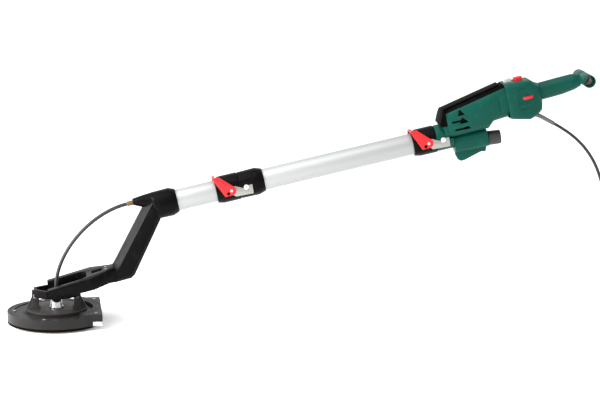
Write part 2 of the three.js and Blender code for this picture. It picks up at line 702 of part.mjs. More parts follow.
const hexBar = (radius, from, to) => bar('x', radius, from, to, [0, DRIVE_OFFSET], 6);

// a drive rod with a hexagonal tip at its rear and, if asked, a hexagonal socket at its front
function driveRod(front, rear, tip, socket) {
  const rod = join(
    bar('x', ROD_RADIUS, front, rear, [0, DRIVE_OFFSET], 12),
    hexBar(ROD_RADIUS - 0.6, rear - 1, rear + tip),
  );
  if (!socket) return rod;
  return cut(
    join(rod, bar('x', ROD_SOCKET_RADIUS, front, front + 26, [0, DRIVE_OFFSET], 16)),
    hexBar(ROD_RADIUS - 0.2, front - 1, front + 18),
  );
}

function buildPole(pole) {
  const upperCoupling = LOWER_COUPLING + EXTENSION_PITCH;
  const lowerEnd = LOWER_COUPLING + COUPLING_SPLIT + SPIGOT;
  const upperEnd = upperCoupling + COUPLING_SPLIT + SPIGOT;
  const bore = TUBE_RADIUS - TUBE_WALL;
  add(pole, 'lower_tube', tube('x', TUBE_RADIUS, bore, SOCKET_FLOOR + GAP, lowerEnd), ALUMINIUM);
  add(pole, 'extension_tube', tube('x', TUBE_RADIUS, bore, lowerEnd + 2, upperEnd), ALUMINIUM);

  const tip = 14;
  const split = 4; // between the end of a rod's shoulder and the next rod's socket
  add(pole, 'lower_drive_rod', driveRod(NOSE_TIP + 10, lowerEnd - split, tip, false), STEEL);
  add(pole, 'upper_drive_rod', driveRod(lowerEnd, upperEnd - split, tip, true), STEEL);

  addLatch(groupAt(pole, LOWER_COUPLING, 0, 0), 'lower');
  const lowerSocket = groupAt(pole, LOWER_COUPLING + COUPLING_SPLIT, 0, 0);
  add(lowerSocket, 'extension_socket', socketSleeve(), BLACK);
  addStuds(lowerSocket, 'extension');
  addLatch(groupAt(pole, upperCoupling, 0, 0), 'upper');
  return upperCoupling + COUPLING_SPLIT;
}

// ---------------------------------------------------------------- motor unit

const topAt = (x) => TOP_AT_NOSE + TOP_SLOPE * (x - NOSE_X);
const shellTop = (x) => topAt(x) - STRIP_THICKNESS - GAP;

const SHELL_STATIONS = [
  [SHELL_FRONT, -4, shellTop(SHELL_FRONT), 37, 22],
  [60, -4, shellTop(60), 41, 25],
  [137, -3, shellTop(137), 42, 26],
  [154, 12, shellTop(154), 42, 26],
  [SHELL_REAR, 15, shellTop(SHELL_REAR), 40, 24],
];

const CONTROL_STATIONS = [
  [SHELL_REAR + GAP, 10, 100.5, 41, 14],
  [206, 6, 100, 42, 14],
  [247, -4, 97.5, 42, 14],
  [266, 1.5, 96, 39, 14],
  [283, 11, 80.5, 31, 14],
  [CONTROL_REAR, 28, 79, 22, 14],
];

const HANDLE_STATIONS = [
  [CONTROL_REAR + GAP, 34, 79, 20, 19],
  [318, 34.5, 80, 20, 19],
  [345, 35.5, 81, 20.5, 20],
  [378, 40, 81.5, 20, 19],
  [HANDLE_REAR, 46, 78, 17, 15],
];

// the room that the hooks need beside the socket
const hookRoom = (side) => {
  const [y0, y1] = [side * SLEEVE_FLAT, side * 60].sort((a, b) => a - b);
  return box(-10, SHELL_FRONT + 2, y0, y1, -60, 7);
};

function buildSocket(motor) {
  const body = turned('x', [
    [0, 0],
    [SLEEVE_RADIUS - 3, 0],
    [SLEEVE_RADIUS - 1, 3],
    [SLEEVE_RADIUS - 1, DUCT_START - GAP],
    [0, DUCT_START - GAP],
  ]);
  const socket = cut(
    body.intersect(sideFlats(-1, DUCT_START)),
    bar('x', TUBE_RADIUS + GAP, -1, SPIGOT + 2, [0, 0], TUBE_SIDES),
    bar('x', 15, SPIGOT, DUCT_START + 1, [0, -13], TUBE_SIDES),
    box(24 - GAP, DUCT_START + 1, -60, 60, -4.3, 60),
    bar('x', 7, SPIGOT, 30, [0, DRIVE_OFFSET], 16),
    ...studHoles(),
  );
  add(motor, 'tube_socket', socket, GREEN);
  addStuds(motor, 'socket');
}

function buildShells(motor) {
  const vents = [
    [[64, 50], [82, 50], [70, 67]],
    [[46, 34], [66, 34], [66, 29], [88, 29], [74, 45], [68, 39], [46, 39]],
    [[50, 13], [72, 13], [72, 12], [92, 12], [84, 20], [72, 18], [50, 18]],
  ].map((outline) => plate(outline, -60, 60));
  const inside = shrink(SHELL_STATIONS, MOTOR_WALL);
  inside[0][0] -= 1;
  inside[inside.length - 1][0] += 1;
  const casing = cut(loft(SHELL_STATIONS), loft(inside), ...vents, hookRoom(-1), hookRoom(1));
  const halves = { left: [-60, -GAP / 2], right: [GAP / 2, 60] };
  Object.entries(halves).forEach(([label, [y0, y1]]) => {
    add(motor, `motor_shell_${label}`, casing.intersect(box(0, 260, y0, y1, -60, 160)), GREEN);
  });

  const face = SHELL_FRONT - GAP;
  const roundTop = topAt(face) + 1;
  const nosePlate = plate([
    [24, -4], [face, -4], [face, topAt(face)], [NOSE_X, TOP_AT_NOSE], [15, 38], [24, 20],
  ], -37, 37).intersect(loft([[0, -4, roundTop, 37, 20], [SHELL_FRONT, -4, roundTop, 37, 20]]));
  const strip = plate([
    [NOSE_X, TOP_AT_NOSE - STRIP_THICKNESS], [STRIP_END, topAt(STRIP_END) - STRIP_THICKNESS],
    [STRIP_END, topAt(STRIP_END) - 1], [NOSE_X, TOP_AT_NOSE],
  ], -22, 22);
  const nose = cut(
    join(nosePlate, strip),
    bar('x', 11 + GAP, 22, 40, [0, DRIVE_OFFSET], 24),
    bar('x', SLEEVE_RADIUS, 0, 24, [0, 0], TUBE_SIDES),
    hookRoom(-1),
    hookRoom(1),
  );
  add(motor, 'nose_cap', nose, BLACK);
}

// a spur gear of module 1 about a line along X; a tooth, or a gap, stands straight up
function gear(teeth, x0, x1, centre, gapUp) {
  const pitch = teeth / 2;
  const outline = [];
  for (let k = 0; k < teeth; k += 1) {
    const middle = Math.PI / 2 + ((k + (gapUp ? 0.5 : 0)) * TURN) / teeth;
    [[-0.85, -1.25], [-0.28, 1], [0.28, 1], [0.85, -1.25]].forEach(([side, height]) => {
      const r = pitch + height;
      const angle = middle + side / r;
      outline.push([r * Math.cos(angle), r * Math.sin(angle)]);
    });
  }
  const disc = new THREE.ExtrudeGeometry(shapeOf(outline), { depth: x1 - x0, bevelEnabled: false });
  disc.rotateX(Math.PI / 2).rotateZ(-Math.PI / 2);
  return toSolid(disc.translate(x1, 0, centre));
}

function buildDrive(motor) {
  const place = [0, MOTOR_AXIS];
  add(motor, 'stator', tube('x', 30, 23.5, 102, 150, place), STEEL);
  const armature = turned('x', [
    [0, 40], [4, 40], [4, 102], [22.5, 102], [22.5, 150], [4, 150], [4, 160], [12, 160], [12, 176],
    [4, 176], [4, 197], [0, 197],
  ], place, 16);
  add(motor, 'armature', armature, COPPER);
  const hub = tube('x', 8, 4 + GAP, 80, 92, place, 16);
  const blades = [];
  for (let k = 0; k < 9; k += 1) {
    blades.push(box(82, 92, -0.8, 0.8, 7, 26).rotate([(k * 360) / 9, 0, 0]).translate([0, 0, MOTOR_AXIS]));
  }
  add(motor, 'cooling_fan', join(hub, tube('x', 27, 7, 80, 82.4, place), ...blades), BLACK);
  const pinion = cut(gear(PINION_TEETH, 44, 54, MOTOR_AXIS, false), bar('x', 4 + GAP, 40, 60, place, 12));
  add(motor, 'drive_pinion', pinion, STEEL);
  const spindle = driveSpindle();
  add(motor, 'output_gear', join(gear(GEAR_TEETH, 44.5, 53.5, DRIVE_OFFSET, true), spindle), STEEL);
  add(motor, 'output_bearing', tube('x', 11, ROD_SOCKET_RADIUS + GAP, 25, 33, [0, DRIVE_OFFSET], 20), STEEL);
  add(motor, 'front_bearing', tube('x', 11, 4 + GAP, 60, 68, place, 20), STEEL);
  add(motor, 'rear_bearing', tube('x', 11, 4 + GAP, 186, 194, place, 20), STEEL);
}

// the output spindle: its hexagonal socket takes the tip of the upper drive rod
function driveSpindle() {
  return cut(
    bar('x', ROD_SOCKET_RADIUS, SPIGOT, 58, [0, DRIVE_OFFSET], 16),
    hexBar(ROD_RADIUS - 0.2, SPIGOT - 1, SPIGOT + 18),
  );
}

function buildDuct(motor) {
  const duct = loft([
    [DUCT_START, DUCT_AXIS - 18, 0, 25, 20],
    [DUCT_START + 20, DUCT_AXIS - 21, 0, 26, 20],
    [DUCT_END, DUCT_AXIS - 21, 0, 26, 20],
  ]);
  const fin = plate([
    [DUCT_START, -30], [DUCT_START, -54], [DUCT_START + 4, -67], [DUCT_START + 10, -72],
    [DUCT_START + 20, -72], [DUCT_START + 66, -60], [DUCT_START + 78, -62],
    [DUCT_END - 3, DUCT_AXIS - 14], [DUCT_END - 3, -30],
  ], -8, 8, 2);
  const solid = cut(
    join(duct, fin),
    box(0, 300, -60, 60, -4.3, 60),
    bar('x', DUCT_BORE, DUCT_START + 6, DUCT_END + 1, [0, DUCT_AXIS]),
    bar('x', 13, DUCT_START - 1, DUCT_START + 8, [0, -20], 20),
  );
  add(motor, 'dust_duct', solid, GREEN);

  const swivel = groupAt(motor, DUCT_END, 0, DUCT_AXIS - 2, -NOZZLE_TILT);
  const nozzle = cut(
    join(bar('x', 14, -9, 6, [0, 0]), turned('x', [
      [0, 2.6], [NOZZLE_RADIUS, 2.6], [NOZZLE_RADIUS - 0.6, NOZZLE_LENGTH], [0, NOZZLE_LENGTH],
    ])),
    bar('x', 12, -10, 10),
    bar('x', NOZZLE_RADIUS - NOZZLE_WALL, 6, NOZZLE_LENGTH + 1),
  );
  add(swivel, 'dust_nozzle', nozzle, RUBBER);
}

const [, [topStart, , topHeight], [topEnd, , topEndHeight]] = CONTROL_STATIONS;
const controlTop = (x) => topHeight + ((topEndHeight - topHeight) * (x - topStart)) / (topEnd - topStart);
const START_BUTTON = [203, 222, 7];
const STOP_BUTTON = [229, 251, 8];
const BUTTON_RISE = 9;

function button([x0, x1, half], grow) {
  const middle = (x0 + x1) / 2;
  const top = controlTop(middle) + BUTTON_RISE;
  return box(x0 - grow, x1 + grow, -half - grow, half + grow, top - 16, grow > 0 ? top + 10 : top);
}

const BOOT_PATH = [
  [251.77, 0, 8.18], [263.71, 0, 1.97], [278.16, 0, -6.83], [294.58, 0, -20.67], [310.01, 0, -34.30],
];
const BOOT_RADIUS = 5.7;

function buildControls(motor) {
  const inside = shrink(CONTROL_STATIONS, MOTOR_WALL);
  inside[0][0] -= 2;
  inside[inside.length - 1][0] -= MOTOR_WALL;
  const [wx, wy, wz] = WHEEL_PLACE;
  const wheelHalf = WHEEL_THICKNESS / 2;
  const wheelSlot = bar('z', WHEEL_RADIUS + 1, wz - wheelHalf - PLAY, wz + wheelHalf + PLAY, [wx, wy], 28);
  const housing = cut(
    loft(CONTROL_STATIONS),
    loft(inside),
    button(START_BUTTON, PLAY),
    button(STOP_BUTTON, PLAY),
    wheelSlot,
    drawn(BOOT_PATH, BOOT_RADIUS + PLAY, 12, 10),
    bar('x', 8, CONTROL_REAR - 10, CONTROL_REAR + 1, [0, 55], 16),
  );
  add(motor, 'control_housing', housing, GREEN);
  add(motor, 'start_button', button(START_BUTTON, 0), GREY);
  add(motor, 'stop_button', button(STOP_BUTTON, 0), RED);
  const wheel = bar('z', WHEEL_RADIUS, wz - wheelHalf, wz + wheelHalf, [wx, wy], 28);
  add(motor, 'speed_wheel', wheel, RED);
  add(motor, 'speed_board', box(222, 272, 8, 14, 15, 78), finish(0x234a2c, 0.6));
  add(motor, 'cord_boot', drawn(BOOT_PATH, BOOT_RADIUS, 12, 10), GREY);
}

function buildHandle(motor) {
  const crossbar = bar('y', BAR_RADIUS, -BAR_LENGTH / 2, BAR_LENGTH / 2, [BAR_X, BAR_AXIS], 20);
  const inside = shrink(HANDLE_STATIONS, MOTOR_WALL);
  inside[0][0] -= 1;
  inside[inside.length - 1][0] += 2;
  const solid = cut(
    join(loft(HANDLE_STATIONS, 5), crossbar),
    loft(inside, 5),
    bar('y', BAR_BORE, -BAR_LENGTH, BAR_LENGTH, [BAR_X, BAR_AXIS], 16),
  );
  const halves = { left: [-80, -GAP / 2], right: [GAP / 2, 80] };
  Object.entries(halves).forEach(([label, [y0, y1]]) => {
    add(motor, `handle_shell_${label}`, solid.intersect(box(270, 460, y0, y1, -20, 140)), GREEN);
  });
}

// ---------------------------------------------------------------- mains cord

const CORD_PATH = [
  [1283.3, 0, 488.3], [1300, 0, 478.5], [1330, 0, 458], [1362, 0, 428], [1390, 0, 388], [1410, 0, 340],
  [1422, 0, 285], [1428, 0, 230], [1431, 0, 175], [1436, 0, 125], [1447, 0, 82], [1466, 0, 50],
  [1490.4, 0, 34],
];

function buildCord(root) {
  add(root, 'cord_run', drawn(CORD_PATH, CORD_RADIUS, 36), RUBBER);
  const [cx, cy] = COIL_CENTRE;
  const height = COIL_LAYERS * 2 * CORD_RADIUS;
  const top = COIL_BASE + height;
  add(root, 'cord_coil', tube('z', COIL_OUTER, COIL_INNER, COIL_BASE, top, COIL_CENTRE, 32), RUBBER);

  const inner = cx - Math.sqrt(COIL_INNER ** 2 - (TIE_WIDTH / 2) ** 2);
  const band = (grow, half) => box(
    cx - COIL_OUTER - grow, inner + grow, cy - half, cy + half, COIL_BASE - grow, top + grow,
  );
  const tie = cut(band(GAP + TIE, TIE_WIDTH / 2), band(GAP, TIE_WIDTH));
  add(root, 'cord_tie', tie, BLACK);

  const tailX = cx + COIL_OUTER - CORD_RADIUS;
  const tail = [[30, COIL_BASE + 4], [43, 7.5], [54, 13], [63, PLUG_RADIUS], [72, PLUG_RADIUS]];
  add(root, 'cord_tail', drawn(tail.map(([y, z]) => [tailX, cy + y, z]), CORD_RADIUS, 6), RUBBER);
  const back = cy + tail[tail.length - 1][0] + GAP;
  const plugBody = turned('x', [
    [0, 0], [5.5, 0], [6.5, 18], [12, 22], [PLUG_RADIUS, 30], [PLUG_RADIUS, 50], [0, 50],
  ], [0, 0], 20);
  const pins = [-9.5, 9.5].map((y) => bar('x', 2.4, 49, 69, [y, 0], 10));
  const plug = join(plugBody, ...pins).rotate([0, 0, 90]).translate([tailX, back, PLUG_RADIUS]);
  add(root, 'mains_plug', plug, BLACK);
}

// ---------------------------------------------------------------- assembly

const head = groupAt(sander, 0, 0, 0);
buildPad(head);
buildShroud(head);
buildCarrier(head);
buildRing(head);

buildFork(groupAt(sander, 0, 0, GIMBAL_HEIGHT, FORK_ANGLE));
buildArm(sander);

const pole = groupAt(sander, 0, 0, POLE_HEIGHT, POLE_ANGLE);
buildFlex(sander, pole);
const motorX = buildPole(pole);

const motor = groupAt(pole, motorX, 0, 0);
buildSocket(motor);
buildShells(motor);
buildDrive(motor);
buildDuct(motor);
buildControls(motor);
buildHandle(motor);
buildCord(sander);

export default sander;
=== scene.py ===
import json
import math

import bmesh
import bpy
from mathutils import Matrix, Vector

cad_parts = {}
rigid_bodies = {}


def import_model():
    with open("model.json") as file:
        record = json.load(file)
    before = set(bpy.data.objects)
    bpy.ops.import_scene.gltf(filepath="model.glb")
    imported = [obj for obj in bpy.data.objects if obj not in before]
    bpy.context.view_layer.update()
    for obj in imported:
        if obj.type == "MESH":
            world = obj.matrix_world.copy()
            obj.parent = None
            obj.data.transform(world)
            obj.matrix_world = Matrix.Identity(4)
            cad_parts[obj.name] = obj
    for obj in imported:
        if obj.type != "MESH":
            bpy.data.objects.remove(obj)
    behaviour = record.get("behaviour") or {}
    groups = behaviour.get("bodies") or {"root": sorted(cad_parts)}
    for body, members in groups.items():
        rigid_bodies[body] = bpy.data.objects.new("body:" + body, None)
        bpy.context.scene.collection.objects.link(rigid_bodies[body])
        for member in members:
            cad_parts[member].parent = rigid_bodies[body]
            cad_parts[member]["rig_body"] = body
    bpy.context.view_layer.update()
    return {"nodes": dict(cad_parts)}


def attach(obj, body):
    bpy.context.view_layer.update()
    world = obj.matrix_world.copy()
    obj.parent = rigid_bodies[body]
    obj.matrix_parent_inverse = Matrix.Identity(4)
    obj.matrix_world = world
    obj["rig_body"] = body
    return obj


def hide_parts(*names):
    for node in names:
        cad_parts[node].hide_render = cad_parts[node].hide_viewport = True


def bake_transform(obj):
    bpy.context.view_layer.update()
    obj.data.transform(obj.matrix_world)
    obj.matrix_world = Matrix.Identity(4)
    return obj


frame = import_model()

MM = 0.001
TURN = 2 * math.pi

# ---------------------------------------------------------------- places, as the part's source has them

POLE_ANGLE = math.radians(12.38)
FORK_ANGLE = math.radians(14.4)
COUPLING_STARTS = {"lower": 418, "upper": 935}
LEVER_PIN_PLACE = (38, -2)  # along the pole from the coupling's start, and above the pole's axis
STUD_PLACE = (76.5, -2)
POLE = Matrix.Translation((0, 0, 0.242)) @ Matrix.Rotation(-POLE_ANGLE, 4, "Y")
MOTOR = POLE @ Matrix.Translation((0.996, 0, 0))
FORK = Matrix.Translation((0, 0, 0.08)) @ Matrix.Rotation(-FORK_ANGLE, 4, "Y")
ROW = Matrix.Identity(4)

CORD_RADIUS = 4
CORD_ROUTE = [
    (1283.3, 0, 488.3), (1300, 0, 478.5), (1330, 0, 458), (1362, 0, 428), (1390, 0, 388), (1410, 0, 340),
    (1422, 0, 285), (1428, 0, 230), (1431, 0, 175), (1436, 0, 125), (1447, 0, 82), (1466, 0, 50),
    (1490.4, 0, 34),
]
COIL_CENTRE = (1520, 48)
COIL_BASE = 1.5
PLUG_RADIUS = 17
PIN_START = 0.1709  # in Y, where the plug's body ends and its pins start, in metres
BOOT_PATH = [(1217, 0, 517.5), (1230, 0, 514), (1246, 0, 508.5), (1265, 0, 498.5), (1283, 0, 488.5)]
BOOT_RADII = (5.65, 5.15)

SHELL_SIDE = 39.6  # half widths at which the grooves' floors lie
CONTROL_SIDE = 40.9
PAST_SIDE = 60
SHELL_SEAM = (174, 175.2)
STRIP_POINT = (30, 0, 60)  # on the plane that parts the black strip from the green shells
STRIP_NORMAL = (-0.2, 0, 1)
NOSE_SPLIT = 30  # height, in the motor unit's frame, below which the nose is green
CONTROL_PANEL = [(224, 40), (262, 40), (262, 68), (224, 68)]
CONTROL_LINES = (80, 28)

SHROUD_GROOVES = [  # outer and inner radius, then the bottom and a height above the shroud's top
    (108, 84, 32.2, 34.5), (118.2, 117.0, 33.2, 34.5), (101, 99, 40, 42), (110, 108, 40, 42),
]
RIM_SCREWS = [(-107, 0, 33.6), (-33, -107, 33.6), (-33, 107, 33.6)]
EDGE_SCREWS = [(98, -78, 40.7), (98, 78, 40.7)]
BRUSH_ROWS = (120.2, 121.9, 123.5)
BRUSH_STEP = 1.9
BRUSH_END = 86  # in X, where the straight edge's pocket starts
EDGE_BLOCK_CORNER = (90, 67)  # of the straight edge's brush blocks, in X and Y
EDGE_STRIP_ROWS = (108.5, 110.5)
EDGE_STEP = 2.1
FORK_SCREWS = [(113, 0, 18.6), (137, -12, 25.6), (137, 12, 25.6)]
CASING_RADIUS = 4.7
CASING_TOP = (0.1917, 0, 0.0205)  # in the pole's frame, in metres
CASING_FOOT = (0, 0, 0.0913)
CASING_REACH = 0.092  # of the curve's handles


# ---------------------------------------------------------------- node trees


class Socket:
    """An output socket. Arithmetic on it adds Math nodes to its tree."""

    def __init__(self, nodes, output):
        self.nodes = nodes
        self.output = output

    def _math(self, operation, first, second):
        return self.nodes.node("ShaderNodeMath", {"operation": operation}, {0: first, 1: second})

    def __add__(self, other):
        return self._math("ADD", self, other)

    def __radd__(self, other):
        return self._math("ADD", other, self)

    def __sub__(self, other):
        return self._math("SUBTRACT", self, other)

    def __rsub__(self, other):
        return self._math("SUBTRACT", other, self)

    def __mul__(self, other):
        return self._math("MULTIPLY", self, other)

    def __rmul__(self, other):
        return self._math("MULTIPLY", other, self)


class Nodes:
    """A node tree, with one method that adds a node to it."""

    def __init__(self, tree):
        self.tree = tree

    def node(self, kind, settings=None, sockets=None, output=0):
        made = self.tree.nodes.new(kind)
        for name, value in (settings or {}).items():
            if name == "stops":
                self._set_stops(made.color_ramp, value)
            else:
                setattr(made, name, value)
        for name, value in (sockets or {}).items():
            if isinstance(value, Socket):
                self.tree.links.new(value.output, made.inputs[name])
            else:
                made.inputs[name].default_value = value
        return Socket(self, made.outputs[output]) if len(made.outputs) else made

    @staticmethod
    def _set_stops(ramp, stops):
        while len(ramp.elements) < len(stops):
            ramp.elements.new(1.0)
        for element, (position, shade) in zip(ramp.elements, stops):
            element.position = position
            element.color = (shade, shade, shade, 1)


class Finish(Nodes):
    """A procedural material. Its patterns are laid out in Object coordinates, in metres."""

    def __init__(self, name, slot, **uniform):
        self.slot = slot
        self.material = bpy.data.materials.new(name)
        self.material.use_nodes = True
        super().__init__(self.material.node_tree)
        self.tree.nodes.clear()
        self.place = self.node("ShaderNodeTexCoord", output="Object")
        self.shader = self.node("ShaderNodeBsdfPrincipled")
        for socket, value in uniform.items():
            self.shader.output.node.inputs[socket.replace("_", " ")].default_value = value
        self.node("ShaderNodeOutputMaterial", sockets={"Surface": self.shader})

    def turned(self, angle=0.0, scale=(1, 1, 1)):
        """Object coordinates turned about Y, so that a direction up the pole becomes X, and then scaled."""
        level = self.node("ShaderNodeMapping", sockets={"Vector": self.place, "Rotation": (0, angle, 0)})
        return self.node("ShaderNodeMapping", sockets={"Vector": level, "Scale": scale})

    def noise(self, scale, detail=3.0, along=None):
        where = self.place if along is None else along
        sockets = {"Vector": where, "Scale": scale, "Detail": detail}
        return self.node("ShaderNodeTexNoise", {"noise_dimensions": "3D"}, sockets)

    def ramp(self, value, *stops):
        return self.node("ShaderNodeValToRGB", {"stops": stops}, {0: value})

    def mix(self, factor, first, second):
        sockets = {0: factor, 6: _rgba(first), 7: _rgba(second)}
        return self.node("ShaderNodeMix", {"data_type": "RGBA"}, sockets, output=2)

    def wire(self, **links):
        for name, value in links.items():
            self.tree.links.new(value.output, self.shader.output.node.inputs[name.replace("_", " ")])

    def bump(self, height, distance, strength=1.0):
        sockets = {"Height": height, "Distance": distance, "Strength": strength}
        self.wire(Normal=self.node("ShaderNodeBump", sockets=sockets))


def _rgba(colour):
    return colour if isinstance(colour, Socket) else (*colour, 1)


def shaded(colour, amount):
    """A colour made darker or lighter."""
    return tuple(channel * amount for channel in colour)


def moulded(name, slot, colour, roughness, grain=0.6, depth=0.05, **uniform):
    """Moulded plastic: a fine spark-eroded grain, slow changes of shade and faint handling marks."""
    finish = Finish(name, slot, **uniform)
    slow = finish.noise(9, 2)
    fine = finish.noise(1 / (grain * MM), 4)
    rub = finish.ramp(finish.noise(55, 6), (0.52, 0), (0.72, 1))
    body = finish.mix(slow, shaded(colour, 0.86), shaded(colour, 1.12))
    finish.wire(Base_Color=finish.mix(rub * 0.16, body, tuple(min(1, c * 1.6 + 0.02) for c in colour)))
    finish.wire(Roughness=roughness - 0.05 + fine * 0.08 + rub * 0.07)
    finish.bump(fine, depth * MM)
    return finish


def drawn_metal(name, slot, colour, roughness, metallic):
    """Metal with fine lines along the pole, as drawing leaves them."""
    finish = Finish(name, slot, Metallic=metallic)
    lines = finish.noise(1, 5, finish.turned(POLE_ANGLE, (6, 900, 900)))
    bands = finish.noise(1, 2, finish.turned(POLE_ANGLE, (2, 60, 60)))
    slow = finish.noise(5, 2)
    body = finish.mix(lines, shaded(colour, 0.86), colour)
    finish.wire(Base_Color=finish.mix(slow * 0.35, body, shaded(colour, 0.92)))
    finish.wire(Roughness=roughness - 0.06 + lines * 0.1 + bands * 0.05)
    finish.bump(lines, 0.015 * MM)
    return finish


def stamped_zinc(name, slot, colour):
    """Zinc plate: a granular crystal pattern with dull and bright patches."""
    finish = Finish(name, slot, Metallic=0.85)
    cells = finish.node("ShaderNodeTexVoronoi", sockets={"Vector": finish.place, "Scale": 480})
    clouds = finish.noise(160, 4)
    body = finish.mix(clouds, shaded(colour, 0.68), shaded(colour, 1.1))
    finish.wire(Base_Color=finish.mix(cells * 0.5, body, shaded(colour, 1.25)))
    finish.wire(Roughness=0.34 + clouds * 0.22)
    finish.bump(clouds, 0.05 * MM)
    return finish


def turned_metal(name, slot, colour, roughness):
    """Machined metal: fine tool rings and slight stains."""
    finish = Finish(name, slot, Metallic=1.0)
    rings = finish.noise(1, 3, finish.turned(POLE_ANGLE, (1600, 60, 60)))
    stain = finish.noise(70, 4)
    finish.wire(Base_Color=finish.mix(stain, shaded(colour, 0.8), colour))
    finish.wire(Roughness=roughness + rings * 0.12)
    finish.bump(rings, 0.02 * MM)
    return finish


def rubbery(name, slot, colour, roughness, grain=0.5):
    """Rubber or foam: a fine grain under a dull bloom."""
    finish = Finish(name, slot)
    fine = finish.noise(1 / (grain * MM), 4)
    bloom = finish.noise(40, 4)
    finish.wire(Base_Color=finish.mix(bloom, shaded(colour, 0.8), shaded(colour, 1.25)))
    finish.wire(Roughness=roughness + bloom * 0.12)
    finish.bump(fine, 0.04 * MM)
    return finish


def fibres(name, slot, colour, tip):
    """Bristles: each tuft has its own shade, paler at the cut tips."""
    finish = Finish(name, slot, Specular_IOR_Level=0.05)
    tuft = finish.node("ShaderNodeTexVoronoi", sockets={"Vector": finish.place, "Scale": 420}, output=1)
    shade = finish.node("ShaderNodeSeparateColor", sockets={0: tuft})
    height = finish.node("ShaderNodeSeparateXYZ", sockets={0: finish.place}, output=2)
    low = finish.ramp(height * 100, (0.0, 1), (0.3, 0))
    body = finish.mix(shade, shaded(colour, 0.6), shaded(colour, 1.3))
    finish.wire(Base_Color=finish.mix(low * 0.5, body, tip))
    finish.wire(Roughness=0.55 + shade * 0.25)
    return finish


def grit_paper(name, slot):
    """Abrasive paper: dense grains over a brown backing."""
    finish = Finish(name, slot)
    grains = finish.node("ShaderNodeTexVoronoi", sockets={"Vector": finish.place, "Scale": 900})
    clouds = finish.noise(60, 4)
    body = finish.mix(grains, (0.42, 0.22, 0.11), (0.16, 0.08, 0.04))
    finish.wire(Base_Color=finish.mix(clouds * 0.4, body, (0.5, 0.33, 0.2)))
    finish.wire(Roughness=0.8 + grains * 0.15)
    finish.bump(1 - grains, 0.12 * MM)
    return finish


def windings(name, slot):
    """A wound rotor: copper turns between dark insulation."""
    finish = Finish(name, slot, Metallic=0.8)
    turns = finish.noise(1, 2, finish.turned(POLE_ANGLE, (40, 1100, 1100)))
    stripes = finish.ramp(turns, (0.42, 0), (0.5, 1))
    finish.wire(Base_Color=finish.mix(stripes, (0.1, 0.04, 0.02), (0.72, 0.32, 0.14)))
    finish.wire(Roughness=0.3 + turns * 0.25)
    finish.bump(turns, 0.2 * MM)
    return finish


def laminated(name, slot):
    """A stack of thin steel sheets, seen on edge."""
    finish = Finish(name, slot, Metallic=0.9)
    sheets = finish.node("ShaderNodeTexWave", {"wave_type": "BANDS", "bands_direction": "X"},
                         {"Vector": finish.turned(POLE_ANGLE), "Scale": 320, "Distortion": 0.3})
    rust = finish.noise(90, 4)
    body = finish.mix(sheets, (0.2, 0.21, 0.22), (0.5, 0.51, 0.52))
    finish.wire(Base_Color=finish.mix(rust * 0.3, body, (0.28, 0.2, 0.16)))
    finish.wire(Roughness=0.35 + sheets * 0.2)
    finish.bump(sheets, 0.1 * MM)
    return finish


def printed_board(name, slot):
    """A printed circuit board: green mask with copper tracks and pads under it."""
    finish = Finish(name, slot)
    tracks = finish.node("ShaderNodeTexBrick", {"offset": 0.3},
                         {"Vector": finish.turned(POLE_ANGLE), "Scale": 60, "Mortar Size": 0.02},
                         output="Fac")
    pads = finish.node("ShaderNodeTexVoronoi", sockets={"Vector": finish.place, "Scale": 300})
    body = finish.mix(tracks, (0.02, 0.09, 0.035), (0.06, 0.2, 0.07))
    finish.wire(Base_Color=finish.mix(finish.ramp(pads, (0.1, 1), (0.16, 0)), body, (0.6, 0.6, 0.58)))
    finish.wire(Roughness=0.3 + pads * 0.2)
    finish.bump(tracks, 0.08 * MM)
    return finish


GREEN = moulded("green_shell", "green_plastic", (0.0012, 0.07, 0.05), 0.36, Specular_IOR_Level=0.14)
BLACK = moulded("black_satin", "black_plastic", (0.002, 0.0015, 0.0015), 0.34, Specular_IOR_Level=0.07)
MATT_BLACK = moulded("black_matt", "black_plastic", (0.003, 0.0028, 0.0028), 0.6, Specular_IOR_Level=0.02)
CARRIER = moulded("carrier_grey", "black_plastic", (0.026, 0.023, 0.022), 0.45, Specular_IOR_Level=0.15)
SHROUD = moulded("shroud_grey", "shroud_plastic", (0.013, 0.0115, 0.0115), 0.4, grain=0.9, depth=0.08,
                 Specular_IOR_Level=0.2)
RED = moulded("lever_red", "red_plastic", (0.74, 0.018, 0.022), 0.3, Specular_IOR_Level=0.3)
GREY = moulded("button_grey", "grey_plastic", (0.55, 0.55, 0.54), 0.42)
WHITE = moulded("stud_white", "white_plastic", (0.86, 0.87, 0.86), 0.3)
PLUG = moulded("plug_black", "plug_plastic", (0.014, 0.014, 0.014), 0.5)
ALUMINIUM = drawn_metal("tube_aluminium", "tube_aluminium", (0.47, 0.48, 0.48), 0.42, metallic=0.45)
STEEL = turned_metal("machined_steel", "machined_steel", (0.72, 0.73, 0.74), 0.22)
BRASS = turned_metal("ferrule_brass", "ferrule_brass", (0.2, 0.125, 0.065), 0.36)
ZINC = stamped_zinc("hook_zinc", "zinc_plate", (0.42, 0.41, 0.38))
CASING = rubbery("casing_rubber", "casing_rubber", (0.012, 0.012, 0.012), 0.42)
NOZZLE = rubbery("nozzle_rubber", "nozzle_rubber", (0.03, 0.028, 0.03), 0.45)
BOOT = rubbery("boot_rubber", "boot_rubber", (0.12, 0.12, 0.125), 0.38)
CORD = rubbery("cord_rubber", "cord_rubber", (0.013, 0.013, 0.013), 0.5)
PAD = rubbery("pad_foam", "pad_foam", (0.02, 0.019, 0.02), 0.75, grain=1.5)
PAPER = grit_paper("abrasive_paper", "abrasive")
BRISTLE = fibres("black_bristle", "black_bristle", (0.002, 0.002, 0.002), (0.004, 0.004, 0.004))
PALE_BRISTLE = fibres("pale_bristle", "clear_bristle", (0.78, 0.81, 0.79), (0.9, 0.92, 0.9))
